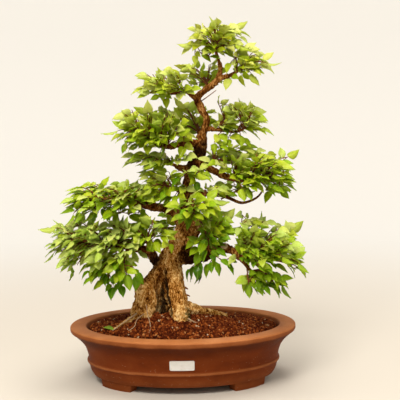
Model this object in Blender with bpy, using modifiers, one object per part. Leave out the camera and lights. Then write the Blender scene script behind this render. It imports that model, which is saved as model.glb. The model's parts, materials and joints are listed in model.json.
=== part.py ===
"""A Korean hornbeam bonsai in its oval unglazed pot.

The tree stands on two buttress legs in a mound of akadama grit. Its trunk winds
up through limbs that carry flat pads of leafy twigs, and the pot stands on four
feet. Sizes and places in the tables below are millimetres, measured from the
centre of the pot where its feet stand, with -Y towards the viewer; the meshes
are in metres. The whole is then moved so that the origin lies below the centre
of its bounding box.
"""

import math
import random

import bmesh
import bpy
from mathutils import Matrix, Vector, noise
from mathutils.bvhtree import BVHTree

MM = 0.001
GAP = 0.35  # clearance left between two pieces that touch
WOOD_GAP = 0.55  # the same round the wood, whose faces are uneven

# The oval pot. An inset is measured inwards from the lip's outer edge.
POT_HALF_LENGTH = 180.0
POT_HALF_WIDTH = 126.0
POT_HEIGHT = 90.0
POT_SIDES = 32
LIP_WIDTH = 25.0
BASE_Z = 12.0  # underside of the pot, above the feet
FLOOR_Z = 20.0  # top of the pot's floor
FLOOR_INSET = 47.0
FOOT_INSET = 38.0
FOOT_DEPTH = 17.0
FOOT_ANGLE = 40.0  # middle of a foot on the oval, in degrees from +X
FOOT_SPREAD = 31.0
FOOT_SIDES = 3
FOOT_SINK = 1.5  # how far a foot goes into the base
FOOT_FLARE = 1.5
FOOT_TAPER = 0.88  # of its width at the bottom, to its width at the top
HOLE_REACH = 5.0  # of a hole's cutter, past the floor on both sides
SHARP_ANGLE = 40.0
DRAIN_X = 58.0
DRAIN_RADIUS = 11.0
DRAIN_SIDES = 12
WIRE_HOLE_RADIUS = 2.5
WIRE_HOLE_SIDES = 6
WIRE_HOLE_X = 104.0
WIRE_HOLE_Y = 36.0
OUTER_WALL = (  # (inset, height) from the lip's inner edge, over it and down to the base
    (LIP_WIDTH, 89.2),
    (23.5, POT_HEIGHT),
    (2.0, POT_HEIGHT),
    (0.0, 88.0),
    (0.0, 83.0),
    (2.5, 80.5),
    (16.5, 67.5),
    (23.0, 58.0),
    (27.0, 46.0),
    (28.4, 38.0),
    (25.8, 36.2),
    (25.8, 33.0),
    (28.8, 31.0),
    (31.0, 21.0),
    (36.5, BASE_Z),
)
INNER_WALL = (  # the same way, from the lip's inner edge down to the floor
    (27.5, 82.0),
    (36.0, 44.0),
    (FLOOR_INSET, FLOOR_Z),
)

# Drain screens, which lie on the floor over the two drain holes.
SCREEN_SIDE = 36.0
SCREEN_THICKNESS = 1.4
SCREEN_CELLS = 2

# The grit: level at the wall, heaped round the trunk.
GRIT_EDGE_Z = 85.0
GRIT_RISE = 24.0
GRIT_HEAP = (-25.0, -10.0)
GRIT_SPREAD = (110.0, 75.0)
GRIT_RINGS = 5
GRIT_ROUGHNESS = 2.4
GRIT_NOISE_SIZE = 9.0
GRIT_NOISE_LEVEL = 7.0
GRIT_ROOM = 0.8  # between the grit and the pot's wall
GRIT_BEVEL = 2.0
GRIT_FIRST_RING = 0.35  # of a ring's width in from the wall
GRIT_EDGE_POWER = 6  # how late the heap's height fades towards the wall

# The blank paper label on the front wall.
LABEL_LOW_Z = 41.5
LABEL_HIGH_Z = 57.5
LABEL_HALF_LENGTH = 18.5
LABEL_THICKNESS = 0.5
LABEL_COLUMNS = 8

# Wood. Each route is a list of (x, y, z, radius).
TRUNK = (
    (-22, 0, 184, 18), (-14, -2, 205, 17), (-3, -5, 219, 18), (10, -8, 238, 20),
    (12, -6, 256, 19), (11, -5, 270, 16), (8, -1, 290, 11), (9, 0, 303, 9.5),
    (13, 3, 322, 9.5), (19, 5, 338, 11), (27, 5, 354, 11.5), (31, 5, 368, 11),
    (35, 2, 382, 8), (37, 0, 394, 6.6), (42, -5, 414, 5.6), (34, -8, 430, 6),
    (28, -10, 442, 6), (30, -11, 450, 6), (38, -12, 457, 5.6), (50, -14, 465, 5.4),
    (60, -16, 475, 5), (64, -18, 490, 4), (62, -19, 502, 3.4), (58, -20, 513, 3),
)
ROOTS = {
    "left leg": (
        (-62, -12, 92, 22), (-61, -10, 112, 21), (-59, -8, 126, 20), (-57, -4, 144, 17.5),
        (-46, 0, 163, 12.5), (-32, 0, 184, 12), (-20, 0, 202, 13),
    ),
    "right leg": (
        (1, -35, 92, 15), (-3, -30, 108, 16), (-7, -22, 124, 17), (-13, -14, 148, 18),
        (-16, -5, 174, 17), (-14, 0, 198, 15),
    ),
    "back leg": ((-30, 28, 92, 21), (-30, 20, 112, 20), (-27, 10, 150, 17), (-20, 2, 188, 15)),
    "middle toe": ((-32, -16, 92, 10), (-31, -8, 112, 9), (-28, 2, 134, 8)),
    "right root": (
        (-2, -12, 118, 15), (14, -6, 113, 10), (32, 0, 108, 7.5), (52, 5, 103, 6),
        (68, 8, 98, 4), (82, 9, 92, 2.6),
    ),
    "left root": ((-66, -14, 112, 9), (-78, -26, 104, 5.5), (-92, -38, 99, 4), (-106, -50, 93, 2.6)),
    "rear root": ((-34, 30, 104, 12), (-48, 48, 98, 7), (-60, 60, 91, 4)),
    "rear right root": ((-14, 26, 104, 10), (8, 42, 98, 6), (26, 52, 91, 3.6)),
}
LIMBS = {
    "left_low": (
        (-24, 6, 178, 12), (-42, 10, 187, 9.5), (-52, 6, 203, 8), (-81, -14, 216, 6.5),
        (-96, -24, 218, 5.4),
    ),
    "left_hang": ((-78, -12, 215, 5.5), (-84, -34, 212, 3.6)),
    "left_inner": ((-52, 4, 204, 6), (-52, -18, 218, 3.8)),
    "left_up": (
        (2, -5, 258, 13), (-15, -6, 272, 9), (-49, -10, 279, 7), (-75, -15, 286, 5.4),
    ),
    "centre_left": ((8, -2, 296, 7), (-6, -10, 304, 3.6)),
    "mid_left_low": ((17, 4, 335, 9), (3, 2, 337, 5), (-8, -4, 342, 3.4)),
    "mid_left": ((27, 0, 376, 8), (6, -8, 376, 5.8), (-16, -15, 372, 5)),
    "top_left": ((28, -10, 444, 5), (13, -15, 456, 3.6)),
    "apex": ((62, -19, 502, 3.2), (58, -20, 513, 3)),
    "apex_right": ((61, -16, 476, 4.8), (76, -20, 479, 3.8)),
    "right_small": ((38, 0, 398, 5), (55, -4, 398, 3.8)),
    "right_mid": ((22, 5, 342, 9), (43, -5, 338, 7), (62, -12, 328, 6.2), (78, -17, 322, 5.4)),
    "right_twig": ((12, 4, 299, 7), (40, 9, 296, 4.2)),
    "right_low": (
        (2, 4, 196, 15), (24, 0, 198, 13), (47, -15, 205, 10), (70, -32, 213, 8), (92, -43, 204, 6),
    ),
    "pruned stub": ((70, -30, 213, 7), (66, -45, 220, 6)),
    "right_hang": ((84, -38, 207, 5.5), (96, -52, 194, 3.6)),
    "right_inner": ((40, -10, 204, 8), (40, -30, 214, 3.8)),
    "front_mid": ((10, -14, 260, 8), (8, -36, 270, 3.8)),
    "front_high": ((13, 0, 320, 7), (10, -18, 326, 3.4)),
    "back_low": ((-2, 4, 212, 13), (8, 34, 222, 8), (14, 58, 228, 5.4)),
    "back_left": ((4, 2, 262, 11), (-24, 26, 270, 6.5), (-38, 38, 274, 5)),
    "back_right": ((24, 6, 346, 9), (46, 24, 346, 5)),
    "back_mid": ((32, 5, 372, 8), (30, 26, 388, 4.4)),
    "back_top": ((38, -12, 458, 5), (42, 0, 464, 3.6)),
}
ROUTE_STEPS = 4  # cross-sections between two points of a route
TUBE_RESOLUTION = 2
WOOD_VOXEL = 1.5
WOOD_TRIANGLES = 1800
BARK_LUMP = 3.0
BARK_LUMP_SIZE = 11.0
BARK_FULL_BELOW_Z = 280.0
BARK_NONE_ABOVE_Z = 380.0
BARK_LEAST = 0.15
MERGE_DISTANCE = 0.01

# Leafy sprays. Each continues its limb along stem, (x, y, z) points, and fills an
# oval pad with leafy shoots: centre, half sizes, and how many shoots.
SPRAYS = {
    "left_low": {
        "stem": ((-112, -33, 221), (-134, -42, 225), (-162, -48, 228), (-184, -48, 226)),
        "centre": (-129, -40, 224), "half": (75, 60, 38), "shoots": 10,
    },
    "left_hang": {
        "stem": ((-92, -48, 204), (-104, -62, 194)),
        "centre": (-112, -62, 186), "half": (38, 26, 20), "shoots": 3,
    },
    "left_inner": {
        "stem": ((-54, -34, 228), (-58, -52, 234)),
        "centre": (-58, -38, 238), "half": (30, 28, 22), "shoots": 4,
    },
    "left_up": {
        "stem": ((-98, -20, 288), (-124, -24, 290), (-152, -25, 292), (-168, -24, 292)),
        "centre": (-110, -20, 289), "half": (69, 56, 27), "shoots": 9,
    },
    "centre_left": {
        "stem": ((-20, -18, 310), (-38, -26, 315)),
        "centre": (-32, -20, 316), "half": (24, 26, 20), "shoots": 3,
    },
    "mid_left_low": {
        "stem": ((-26, -12, 349), (-50, -18, 352)),
        "centre": (-48, -14, 352), "half": (34, 28, 10), "shoots": 3,
    },
    "mid_left": {
        "stem": ((-32, -20, 374), (-46, -25, 383), (-62, -29, 392), (-80, -30, 399)),
        "centre": (-42, -22, 400), "half": (52, 48, 32), "shoots": 8,
    },
    "top_left": {
        "stem": ((-4, -18, 454), (-26, -20, 455), (-44, -20, 462)),
        "centre": (-24, -18, 469), "half": (34, 34, 18), "shoots": 5,
    },
    "apex": {
        "stem": ((56, -21, 528), (58, -22, 545)),
        "centre": (56, -20, 535), "half": (36, 32, 24), "shoots": 7,
    },
    "apex_right": {
        "stem": ((88, -24, 485), (100, -28, 494), (114, -30, 503)),
        "centre": (106, -28, 498), "half": (28, 28, 20), "shoots": 4,
    },
    "right_small": {
        "stem": ((70, -8, 396), (88, -12, 394), (102, -15, 401), (108, -17, 416)),
        "centre": (94, -12, 414), "half": (34, 32, 24), "shoots": 6,
    },
    "right_mid": {
        "stem": ((94, -21, 319), (114, -24, 320), (136, -27, 318), (156, -28, 322)),
        "centre": (121, -22, 328), "half": (52, 50, 32), "shoots": 8,
    },
    "right_twig": {
        "stem": ((64, 10, 293), (78, 8, 288), (97, 5, 281), (119, 0, 289), (130, -3, 302)),
        "centre": (66, 6, 301), "half": (32, 24, 9), "shoots": 3,
    },
    "right_low": {
        "stem": ((106, -49, 200), (126, -54, 200), (148, -57, 198), (168, -58, 192)),
        "centre": (131, -48, 218), "half": (50, 54, 36), "shoots": 9,
    },
    "right_hang": {
        "stem": ((106, -60, 183), (118, -64, 176)),
        "centre": (126, -62, 169), "half": (30, 24, 16), "shoots": 3,
    },
    "right_inner": {
        "stem": ((42, -44, 226), (48, -54, 240)),
        "centre": (48, -40, 244), "half": (28, 22, 22), "shoots": 4,
    },
    "front_mid": {
        "stem": ((14, -56, 276), (30, -72, 280)),
        "centre": (26, -62, 279), "half": (30, 24, 15), "shoots": 5,
    },
    "front_high": {
        "stem": ((8, -36, 331), (12, -50, 333)),
        "centre": (10, -42, 332), "half": (20, 16, 6), "shoots": 2,
    },
    "back_low": {
        "stem": ((16, 80, 233), (12, 102, 238)),
        "centre": (14, 84, 244), "half": (60, 40, 22), "shoots": 4,
    },
    "back_left": {
        "stem": ((-60, 54, 281), (-88, 66, 286)),
        "centre": (-74, 58, 292), "half": (50, 38, 18), "shoots": 4,
    },
    "back_right": {
        "stem": ((66, 40, 347), (98, 58, 350)),
        "centre": (80, 50, 353), "half": (44, 36, 20), "shoots": 3,
    },
    "back_mid": {
        "stem": ((26, 48, 404), (18, 66, 414)),
        "centre": (22, 54, 416), "half": (38, 34, 22), "shoots": 3,
    },
    "back_top": {
        "stem": ((45, 16, 473), (44, 32, 481)),
        "centre": (40, 24, 486), "half": (30, 26, 18), "shoots": 3,
    },
}
TRUNK_AXIS = (16.0, 6.0)  # where the crown's leaves lean away from
LEAN_DEPTH = 2.2  # how much more they lean to the front and back than to the sides
THIN_STEM = 3.5  # a stem that starts thinner than this has four sides, the others six
STEM_TIP_RADIUS = 1.8
STEM_OVERLAP = 4.0  # length of a stem inside its limb, before it is cut off there
STEM_SLIMMER = 0.4  # than its limb's end
STEM_STEPS = 3
SHOOT_STEPS = 3  # straight stretches in a shoot's bow
SHOOT_SWAY = 0.06  # sideways, as a share of its span
SHOOT_BOW = 0.2  # upwards
SHEET_TILT = 0.2
SHEET_LEANS = (0.3, 1.0)
PAD_TURN = 0.13  # of a full turn, from one pad's first shoot to the next pad's
PAD_CORE = 0.3  # share of a pad's plan that has no shoot tips, at its middle
PAD_START_OUT = 0.62
PAD_START_HEIGHT = 0.31
PAD_HEIGHTS = (-0.8, 1.8)  # lowest tips and how much higher the highest are, in half heights
PAD_DOME = 0.4  # how much a pad thins towards its rim
EVEN_STEPS = (0.8191725, 0.6710436, 0.5497005)  # they spread a pad's shoots evenly
STEPS_BACK = 3  # from the stem point nearest to a shoot's tip to where it starts
SHOOT_ROOT_HALF = 1.2
SHOOT_TIP_HALF = 0.8
BARE_LENGTH = 7.0  # of a shoot, before its first leaf
LEAF_SPACING = 11.0
MOST_LEAVES = 6
FEWEST_LEAVES = 3  # in the first tries, and one fewer after them
TRIES = 3  # for each shoot, before and after that
LEAF_LENGTH = 29.0
LEAF_THICKNESS = 0.8
LEAF_FOLD = 0.25  # rise of an edge beside the midrib, as a share of its distance from it
LEAF_BASE_HALF = 1.5  # half of a leaf's width where it leaves its shoot
LEAF_WIDEST = (0.42, 0.29)  # (along, out) as shares of the leaf's length
LEAF_SHOULDER = (0.68, 0.24)  # a corner on one side, outside the line to the tip
LEAF_SLANTS = (24, 40)  # degrees forward from straight out
LEAF_DROOPS = (-55, 5)  # degrees up from the shoot's plane
LEAF_SIZES = (0.8, 1.05)
FIRST_LEAF_SIZE = 0.8
TIP_LEAF_DIPS = (-0.8, -0.1)
TIP_LEAF_SIZES = (0.9, 1.1)
LAST_LEAF_BACK = 0.55  # of the spacing, from the last side leaf to the shoot's tip
OTHER_TURNS = (0, 20, -20, 40, 60)  # degrees, tried until a leaf is clear of everything
LEAF_CLEARANCE = 0.35

FALLEN_LEAF = {"at": (-122.0, -42.0), "z": 92.5, "turn": -35.0, "length": 22.0}

COLOURS = {  # base colour, roughness
    "fired clay": ((0.30, 0.09, 0.035), 0.62),
    "akadama grit": ((0.22, 0.065, 0.022), 0.9),
    "bark": ((0.32, 0.17, 0.07), 0.85),
    "leaf green": ((0.20, 0.42, 0.03), 0.5),
    "paper": ((0.85, 0.84, 0.8), 0.7),
    "black plastic": ((0.03, 0.03, 0.03), 0.5),
}


def clear_scene():
    for old in list(bpy.data.objects):
        bpy.data.objects.remove(old)


def new_collection(name):
    made = bpy.data.collections.new(name)
    bpy.context.scene.collection.children.link(made)
    return made


def material(name):
    colour, roughness = COLOURS[name]
    made = bpy.data.materials.get(name) or bpy.data.materials.new(name)
    made.use_nodes = True
    shader = made.node_tree.nodes["Principled BSDF"]
    shader.inputs["Base Color"].default_value = (*colour, 1.0)
    shader.inputs["Roughness"].default_value = roughness
    shader.inputs["Metallic"].default_value = 0.0
    return made


def add_object(name, mesh, collection, finish=None):
    made = bpy.data.objects.new(name, mesh)
    collection.objects.link(made)
    if finish:
        made.data.materials.clear()
        made.data.materials.append(material(finish))
    return made


def apply_modifiers(obj):
    """Replaces the object's mesh by what its modifiers make of it."""
    bpy.context.view_layer.update()
    graph = bpy.context.evaluated_depsgraph_get()
    made = bpy.data.meshes.new_from_object(obj.evaluated_get(graph))
    obj.modifiers.clear()
    obj.data = made


def boolean(obj, operation, other, solver="EXACT"):
    """Joins or cuts obj with another object, or with all objects of a collection."""
    modifier = obj.modifiers.new(operation.lower(), "BOOLEAN")
    modifier.operation = operation
    modifier.solver = solver
    if isinstance(other, bpy.types.Collection):
        modifier.operand_type = "COLLECTION"
        modifier.collection = other
    else:
        modifier.object = other
    apply_modifiers(obj)


def empty_collection(collection):
    for old in list(collection.objects):
        bpy.data.objects.remove(old)


def loft(rings, close_ends=True):
    """A closed mesh through rings of points, all with the same count."""
    bm = bmesh.new()
    levels = [[bm.verts.new(Vector(p) * MM) for p in ring] for ring in rings]
    for low, high in zip(levels, levels[1:]):
        count = len(low)
        for i in range(count):
            j = (i + 1) % count
            bm.faces.new((low[i], low[j], high[j], high[i]))
    if close_ends:
        bm.faces.new(levels[0])
        bm.faces.new(levels[-1])
    bmesh.ops.recalc_face_normals(bm, faces=bm.faces)
    mesh = bpy.data.meshes.new("loft")
    bm.to_mesh(mesh)
    bm.free()
    return mesh


def oval(inset, z, sides=POT_SIDES):
    """A ring of the pot's oval, moved inwards by inset."""
    turns = [math.tau * i / sides for i in range(sides)]
    return [
        ((POT_HALF_LENGTH - inset) * math.cos(t), (POT_HALF_WIDTH - inset) * math.sin(t), z)
        for t in turns
    ]


def foot_mesh(middle):
    """A foot that follows the oval of the base, its ends leaning in."""
    rings = []
    for i in range(FOOT_SIDES + 1):
        share = 2 * i / FOOT_SIDES - 1
        ring = []
        for inset, z, spread in (
            (FOOT_INSET, BASE_Z + FOOT_SINK, 1.0),
            (FOOT_INSET - FOOT_FLARE, 0.0, FOOT_TAPER),
            (FOOT_INSET + FOOT_DEPTH, 0.0, FOOT_TAPER),
            (FOOT_INSET + FOOT_DEPTH, BASE_Z + FOOT_SINK, 1.0),
        ):
            t = math.radians(middle + share * spread * FOOT_SPREAD / 2)
            ring.append(
                ((POT_HALF_LENGTH - inset) * math.cos(t), (POT_HALF_WIDTH - inset) * math.sin(t), z)
            )
        rings.append(ring)
    return loft(rings)


def cylinder(name, x, y, low, high, radius, sides, collection):
    mesh = bpy.data.meshes.new(name)
    bm = bmesh.new()
    bmesh.ops.create_cone(
        bm, cap_ends=True, segments=sides, radius1=radius * MM, radius2=radius * MM,
        depth=(high - low) * MM,
        matrix=Matrix.Translation(Vector((x, y, (low + high) / 2)) * MM),
    )
    bm.to_mesh(mesh)
    bm.free()
    return add_object(name, mesh, collection)


def make_pot(parts, helpers):
    """The oval shell with its belt, joined to four feet and pierced by its holes."""
    rings = [oval(*point) for point in reversed(OUTER_WALL)] + [oval(*point) for point in INNER_WALL]
    pot = add_object("pot", loft(rings), parts, "fired clay")
    for middle in (FOOT_ANGLE, 180 - FOOT_ANGLE, 180 + FOOT_ANGLE, 360 - FOOT_ANGLE):
        add_object("foot", foot_mesh(middle), helpers)
    boolean(pot, "UNION", helpers)
    empty_collection(helpers)
    low, high = BASE_Z - HOLE_REACH, FLOOR_Z + HOLE_REACH
    for side in (-1, 1):
        cylinder("drain", side * DRAIN_X, 0, low, high, DRAIN_RADIUS, DRAIN_SIDES, helpers)
        for end in (-1, 1):
            cylinder(
                "wire hole", side * WIRE_HOLE_X, end * WIRE_HOLE_Y, low, high,
                WIRE_HOLE_RADIUS, WIRE_HOLE_SIDES, helpers,
            )
    boolean(pot, "DIFFERENCE", helpers)
    empty_collection(helpers)
    pot.data.shade_smooth()
    pot.data.set_sharp_from_angle(angle=math.radians(SHARP_ANGLE))
    return pot


def make_screen(name, x, parts):
    """A square plastic mesh over a drain hole: a grid whose inner cells are open."""
    bm = bmesh.new()
    bmesh.ops.create_grid(
        bm, x_segments=2 * SCREEN_CELLS + 1, y_segments=2 * SCREEN_CELLS + 1,
        size=SCREEN_SIDE / 2 * MM,
        matrix=Matrix.Translation(Vector((x, 0, FLOOR_Z + GAP)) * MM),
    )
    pitch = SCREEN_SIDE / (2 * SCREEN_CELLS + 1)

    def column(value, centre):
        return int((value / MM - centre + SCREEN_SIDE / 2) // pitch)

    holes = [
        face for face in bm.faces
        if column(face.calc_center_median().x, x) % 2 and column(face.calc_center_median().y, 0) % 2
    ]
    bmesh.ops.delete(bm, geom=holes, context="FACES")
    mesh = bpy.data.meshes.new(name)
    bm.to_mesh(mesh)
    bm.free()
    screen = add_object(name, mesh, parts, "black plastic")
    wall = screen.modifiers.new("thickness", "SOLIDIFY")
    wall.thickness = SCREEN_THICKNESS * MM
    wall.offset = 1.0
    return screen


def grit_height(x, y):
    """Height of the grit's surface, without its grains."""
    share = math.hypot(
        x / (POT_HALF_LENGTH - LIP_WIDTH), y / (POT_HALF_WIDTH - LIP_WIDTH)
    )
    heap = math.exp(
        -(((x - GRIT_HEAP[0]) / GRIT_SPREAD[0]) ** 2) - ((y - GRIT_HEAP[1]) / GRIT_SPREAD[1]) ** 2
    )
    return GRIT_EDGE_Z + GRIT_RISE * heap * (1 - min(share, 1.0) ** GRIT_EDGE_POWER)


def make_grit(parts, helpers, wood_with_room):
    """Grit that fills the pot to a rough heaped surface, with a hole where the tree stands in it."""
    rings = [
        oval(inset + GRIT_ROOM, z + (GAP if z == FLOOR_Z else 0)) for inset, z in reversed(INNER_WALL)
    ]
    rim = INNER_WALL[0][0] + GRIT_ROOM
    rings.append(oval(rim, GRIT_EDGE_Z - GRIT_BEVEL))
    for i in range(GRIT_RINGS):
        share = 1 - (i + GRIT_FIRST_RING) / GRIT_RINGS
        ring = []
        for x, y, _ in oval(rim, 0):
            x, y = x * share, y * share
            bump = noise.noise(Vector((x, y, GRIT_NOISE_LEVEL)) / GRIT_NOISE_SIZE)
            ring.append((x, y, grit_height(x, y) + GRIT_ROUGHNESS * bump))
        rings.append(ring)
    grit = add_object("soil", loft(rings), parts, "akadama grit")
    boolean(grit, "DIFFERENCE", wood_with_room)
    for side in (-1, 1):
        half = SCREEN_SIDE / 2 + GAP
        top = FLOOR_Z + 2 * GAP + SCREEN_THICKNESS
        box = bpy.data.meshes.new("screen room")
        bm = bmesh.new()
        bmesh.ops.create_cube(
            bm, size=2 * MM,
            matrix=Matrix.Translation(Vector((side * DRAIN_X, 0, FLOOR_Z)) * MM)
            @ Matrix.Diagonal((half, half, top - FLOOR_Z, 1.0)),
        )
        bm.to_mesh(box)
        bm.free()
        add_object("screen room", box, helpers)
    boolean(grit, "DIFFERENCE", helpers)
    empty_collection(helpers)
    return grit


def wall_inset(z):
    """Inset of the pot's outer wall at a height, between the points of its outline."""
    for (inset, high), (lower_inset, low) in zip(OUTER_WALL[2:], OUTER_WALL[3:]):
        if low <= z <= high and high > low:
            return lower_inset + (inset - lower_inset) * (z - low) / (high - low)
    raise ValueError("no wall at this height")


def make_label(parts):
    """A blank paper label that follows the curve of the front wall, just clear of the clay."""
    levels = [LABEL_LOW_Z, *[z for _, z in OUTER_WALL if LABEL_LOW_Z < z < LABEL_HIGH_Z], LABEL_HIGH_Z]
    rings = []
    for i in range(LABEL_COLUMNS + 1):
        x = LABEL_HALF_LENGTH * (2 * i / LABEL_COLUMNS - 1)
        inner, outer = [], []
        for z in levels:
            inset = wall_inset(z)
            share = x / (POT_HALF_LENGTH - inset)
            y = -(POT_HALF_WIDTH - inset) * math.sqrt(1 - share * share)
            inner.append((x, y - GAP, z))
            outer.append((x, y - GAP - LABEL_THICKNESS, z))
        rings.append(inner + outer[::-1])
    return add_object("label", loft(rings), parts, "paper")


def make_fallen_leaf(parts):
    """A leaf that has dropped on the grit."""
    x, y = FALLEN_LEAF["at"]
    along = Matrix.Rotation(math.radians(FALLEN_LEAF["turn"]), 3, "Z") @ Vector((1, 0, 0.0))
    facing = Vector((0, 0, 1))
    across = facing.cross(along)
    base = Vector((x, y, FALLEN_LEAF["z"]))
    bases = [base + across * LEAF_BASE_HALF, base - across * LEAF_BASE_HALF]
    outline = leaf_points(base, along, -across, facing, FALLEN_LEAF["length"], 1)
    leaf = add_object("fallen_leaf", sheet_mesh(leaf_faces(outline, bases)), parts, "leaf green")
    thicken(leaf)
    return leaf


def smooth_route(points, steps):
    """A finer route on a smooth curve through the points, radius included."""
    points = [Vector(p) for p in points]
    ends = [2 * points[0] - points[1], *points, 2 * points[-1] - points[-2]]
    route = []
    for a, b, c, d in zip(ends, ends[1:], ends[2:], ends[3:]):
        for i in range(steps):
            t = i / steps
            route.append(
                0.5 * (2 * b + (c - a) * t + (2 * a - 5 * b + 4 * c - d) * t**2
                       + (3 * b - a - 3 * c + d) * t**3)
            )
    return [*route, points[-1]]


def tube(name, route, resolution, collection):
    """A round tube along (x, y, z, radius) points, as a closed mesh object."""
    curve = bpy.data.curves.new(name, "CURVE")
    curve.dimensions = "3D"
    curve.bevel_depth = MM
    curve.bevel_resolution = resolution
    curve.use_fill_caps = True
    spline = curve.splines.new("POLY")
    spline.points.add(len(route) - 1)
    for point, (x, y, z, radius) in zip(spline.points, route):
        point.co = (x * MM, y * MM, z * MM, 1.0)
        point.radius = radius
    guide = bpy.data.objects.new(name, curve)
    collection.objects.link(guide)
    bpy.context.view_layer.update()
    graph = bpy.context.evaluated_depsgraph_get()
    mesh = bpy.data.meshes.new_from_object(guide.evaluated_get(graph))
    bpy.data.objects.remove(guide)
    bm = bmesh.new()
    bm.from_mesh(mesh)
    bmesh.ops.remove_doubles(bm, verts=bm.verts, dist=MERGE_DISTANCE * MM)
    bmesh.ops.recalc_face_normals(bm, faces=bm.faces)
    bm.to_mesh(mesh)
    bm.free()
    return add_object(name, mesh, collection)


def joined_mesh(objects):
    """One mesh that holds all the objects' meshes, still as separate shells."""
    bm = bmesh.new()
    for obj in objects:
        bm.from_mesh(obj.data)
    mesh = bpy.data.meshes.new("joined")
    bm.to_mesh(mesh)
    bm.free()
    return mesh


def make_wood(parts, helpers):
    """Trunk, roots and limbs: tubes melted into one body, with lumpy bark on the old wood."""
    routes = [("trunk", TRUNK), *ROOTS.items(), *LIMBS.items()]
    for name, route in routes:
        tube(name + " tube", smooth_route(route, ROUTE_STEPS), TUBE_RESOLUTION, helpers)
    wood = add_object("trunk", joined_mesh(helpers.objects), parts, "bark")
    empty_collection(helpers)
    melt = wood.modifiers.new("melt", "REMESH")
    melt.mode = "VOXEL"
    melt.voxel_size = WOOD_VOXEL * MM
    apply_modifiers(wood)

    group = wood.vertex_groups.new(name="old wood")
    for vertex in wood.data.vertices:
        share = (BARK_NONE_ABOVE_Z - vertex.co.z / MM) / (BARK_NONE_ABOVE_Z - BARK_FULL_BELOW_Z)
        group.add([vertex.index], min(1.0, max(BARK_LEAST, share)), "REPLACE")
    lumps = bpy.data.textures.new("bark lumps", "CLOUDS")
    lumps.noise_scale = BARK_LUMP_SIZE * MM
    bark = wood.modifiers.new("bark", "DISPLACE")
    bark.texture = lumps
    bark.texture_coords = "LOCAL"
    bark.strength = BARK_LUMP * MM
    bark.mid_level = 0.5
    bark.vertex_group = group.name
    fewer = wood.modifiers.new("fewer faces", "DECIMATE")
    wood.data.calc_loop_triangles()
    fewer.ratio = WOOD_TRIANGLES / len(wood.data.loop_triangles)
    fewer.use_collapse_triangulate = True
    apply_modifiers(wood)
    wood.data.shade_smooth()
    return wood


def with_room(obj, collection):
    """A copy of a solid, swollen by a gap, to cut its neighbours with."""
    swollen = add_object(obj.name + " room", obj.data.copy(), collection)
    swell = swollen.modifiers.new("swell", "DISPLACE")
    swell.strength = WOOD_GAP * MM
    swell.mid_level = 0.0
    apply_modifiers(swollen)
    swollen.hide_render = True
    swollen.display_type = "WIRE"
    return swollen


def tree_of(mesh):
    """A search tree of a mesh's triangles, to test what crosses it."""
    mesh.calc_loop_triangles()
    return BVHTree.FromPolygons(
        [v.co for v in mesh.vertices], [t.vertices for t in mesh.loop_triangles]
    )


def crosses_itself(mesh):
    """Whether two triangles of a mesh cross that have no corner in common."""
    tree = tree_of(mesh)
    corners = [set(t.vertices) for t in mesh.loop_triangles]
    return any(not corners[a] & corners[b] for a, b in tree.overlap(tree))


def along_route(route, distance):
    """(point, direction) at a distance along straight stretches, in millimetres."""
    for a, b in zip(route, route[1:]):
        length = (b - a).length
        if distance <= length:
            break
        distance -= length
    else:
        distance = length
    ahead = (b - a).normalized()
    return a + ahead * distance, ahead


def shoot_route(spray, starts, index, seed):
    """The bowed middle line of a shoot, from the stem to a place in the pad."""
    draw = random.Random(1000 * seed + index)
    centre, half = Vector(spray["centre"]), spray["half"]
    turn = math.tau * ((index * EVEN_STEPS[0] + PAD_TURN * seed) % 1)
    out = math.sqrt(PAD_CORE + (1 - PAD_CORE) * ((index * EVEN_STEPS[1] + PAD_START_OUT) % 1))
    height = PAD_HEIGHTS[0] + PAD_HEIGHTS[1] * ((index * EVEN_STEPS[2] + PAD_START_HEIGHT) % 1)
    height *= math.sqrt(1 - PAD_DOME * out * out)
    target = centre + Vector(
        (half[0] * out * math.cos(turn), half[1] * out * math.sin(turn), half[2] * height)
    )
    nearest = min(range(len(starts)), key=lambda i: (starts[i] - target).length)
    start = starts[max(0, nearest - STEPS_BACK)]
    span = (target - start).length
    sway = [draw.uniform(-SHOOT_SWAY, SHOOT_SWAY) for _ in range(2)]
    bow = Vector((*sway, SHOOT_BOW)) * span
    middle = (start + target) / 2 + bow
    steps = [i / SHOOT_STEPS for i in range(SHOOT_STEPS + 1)]
    return [start * (1 - t) ** 2 + middle * 2 * t * (1 - t) + target * t * t for t in steps]


def leaf_points(base, along, across, facing, length, shoulder_side):
    """A leaf's outline from one side of its base, round its tip, to the other side."""
    def point(share, out):
        return base + along * share * length + across * out * length + facing * abs(out) * length * LEAF_FOLD

    wide, shoulder = LEAF_WIDEST, LEAF_SHOULDER
    outline = [point(wide[0], -wide[1])]
    if shoulder_side < 0:
        outline.append(point(shoulder[0], -shoulder[1]))
    outline.append(point(1, 0))
    if shoulder_side > 0:
        outline.append(point(shoulder[0], shoulder[1]))
    return [*outline, point(wide[0], wide[1])]


def leaf_faces(outline, bases):
    """Triangles of one leaf: folded along the two lines from its base to its tip."""
    back, front = bases
    tip = max(outline, key=lambda p: (p - (back + front) / 2).length)
    place = outline.index(tip)
    first = [back, *outline[: place + 1]]
    last = [*outline[place:], front]
    faces = [(a, b, tip) for a, b in zip(first[:-1], first[1:-1])]
    faces += [(a, b, tip) for a, b in zip(last[1:], last[2:])]
    return [*faces, (back, tip, front)]


def sheet_mesh(faces):
    """A mesh of triangles given by their corners, with equal corners joined."""
    bm = bmesh.new()
    known = {}
    for face in faces:
        corners = []
        for p in face:
            key = tuple(round(value, 4) for value in p)
            if key not in known:
                known[key] = bm.verts.new(p * MM)
            corners.append(known[key])
        bm.faces.new(corners)
    bmesh.ops.recalc_face_normals(bm, faces=bm.faces)
    mesh = bpy.data.meshes.new("sheet")
    bm.to_mesh(mesh)
    bm.free()
    return mesh


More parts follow.
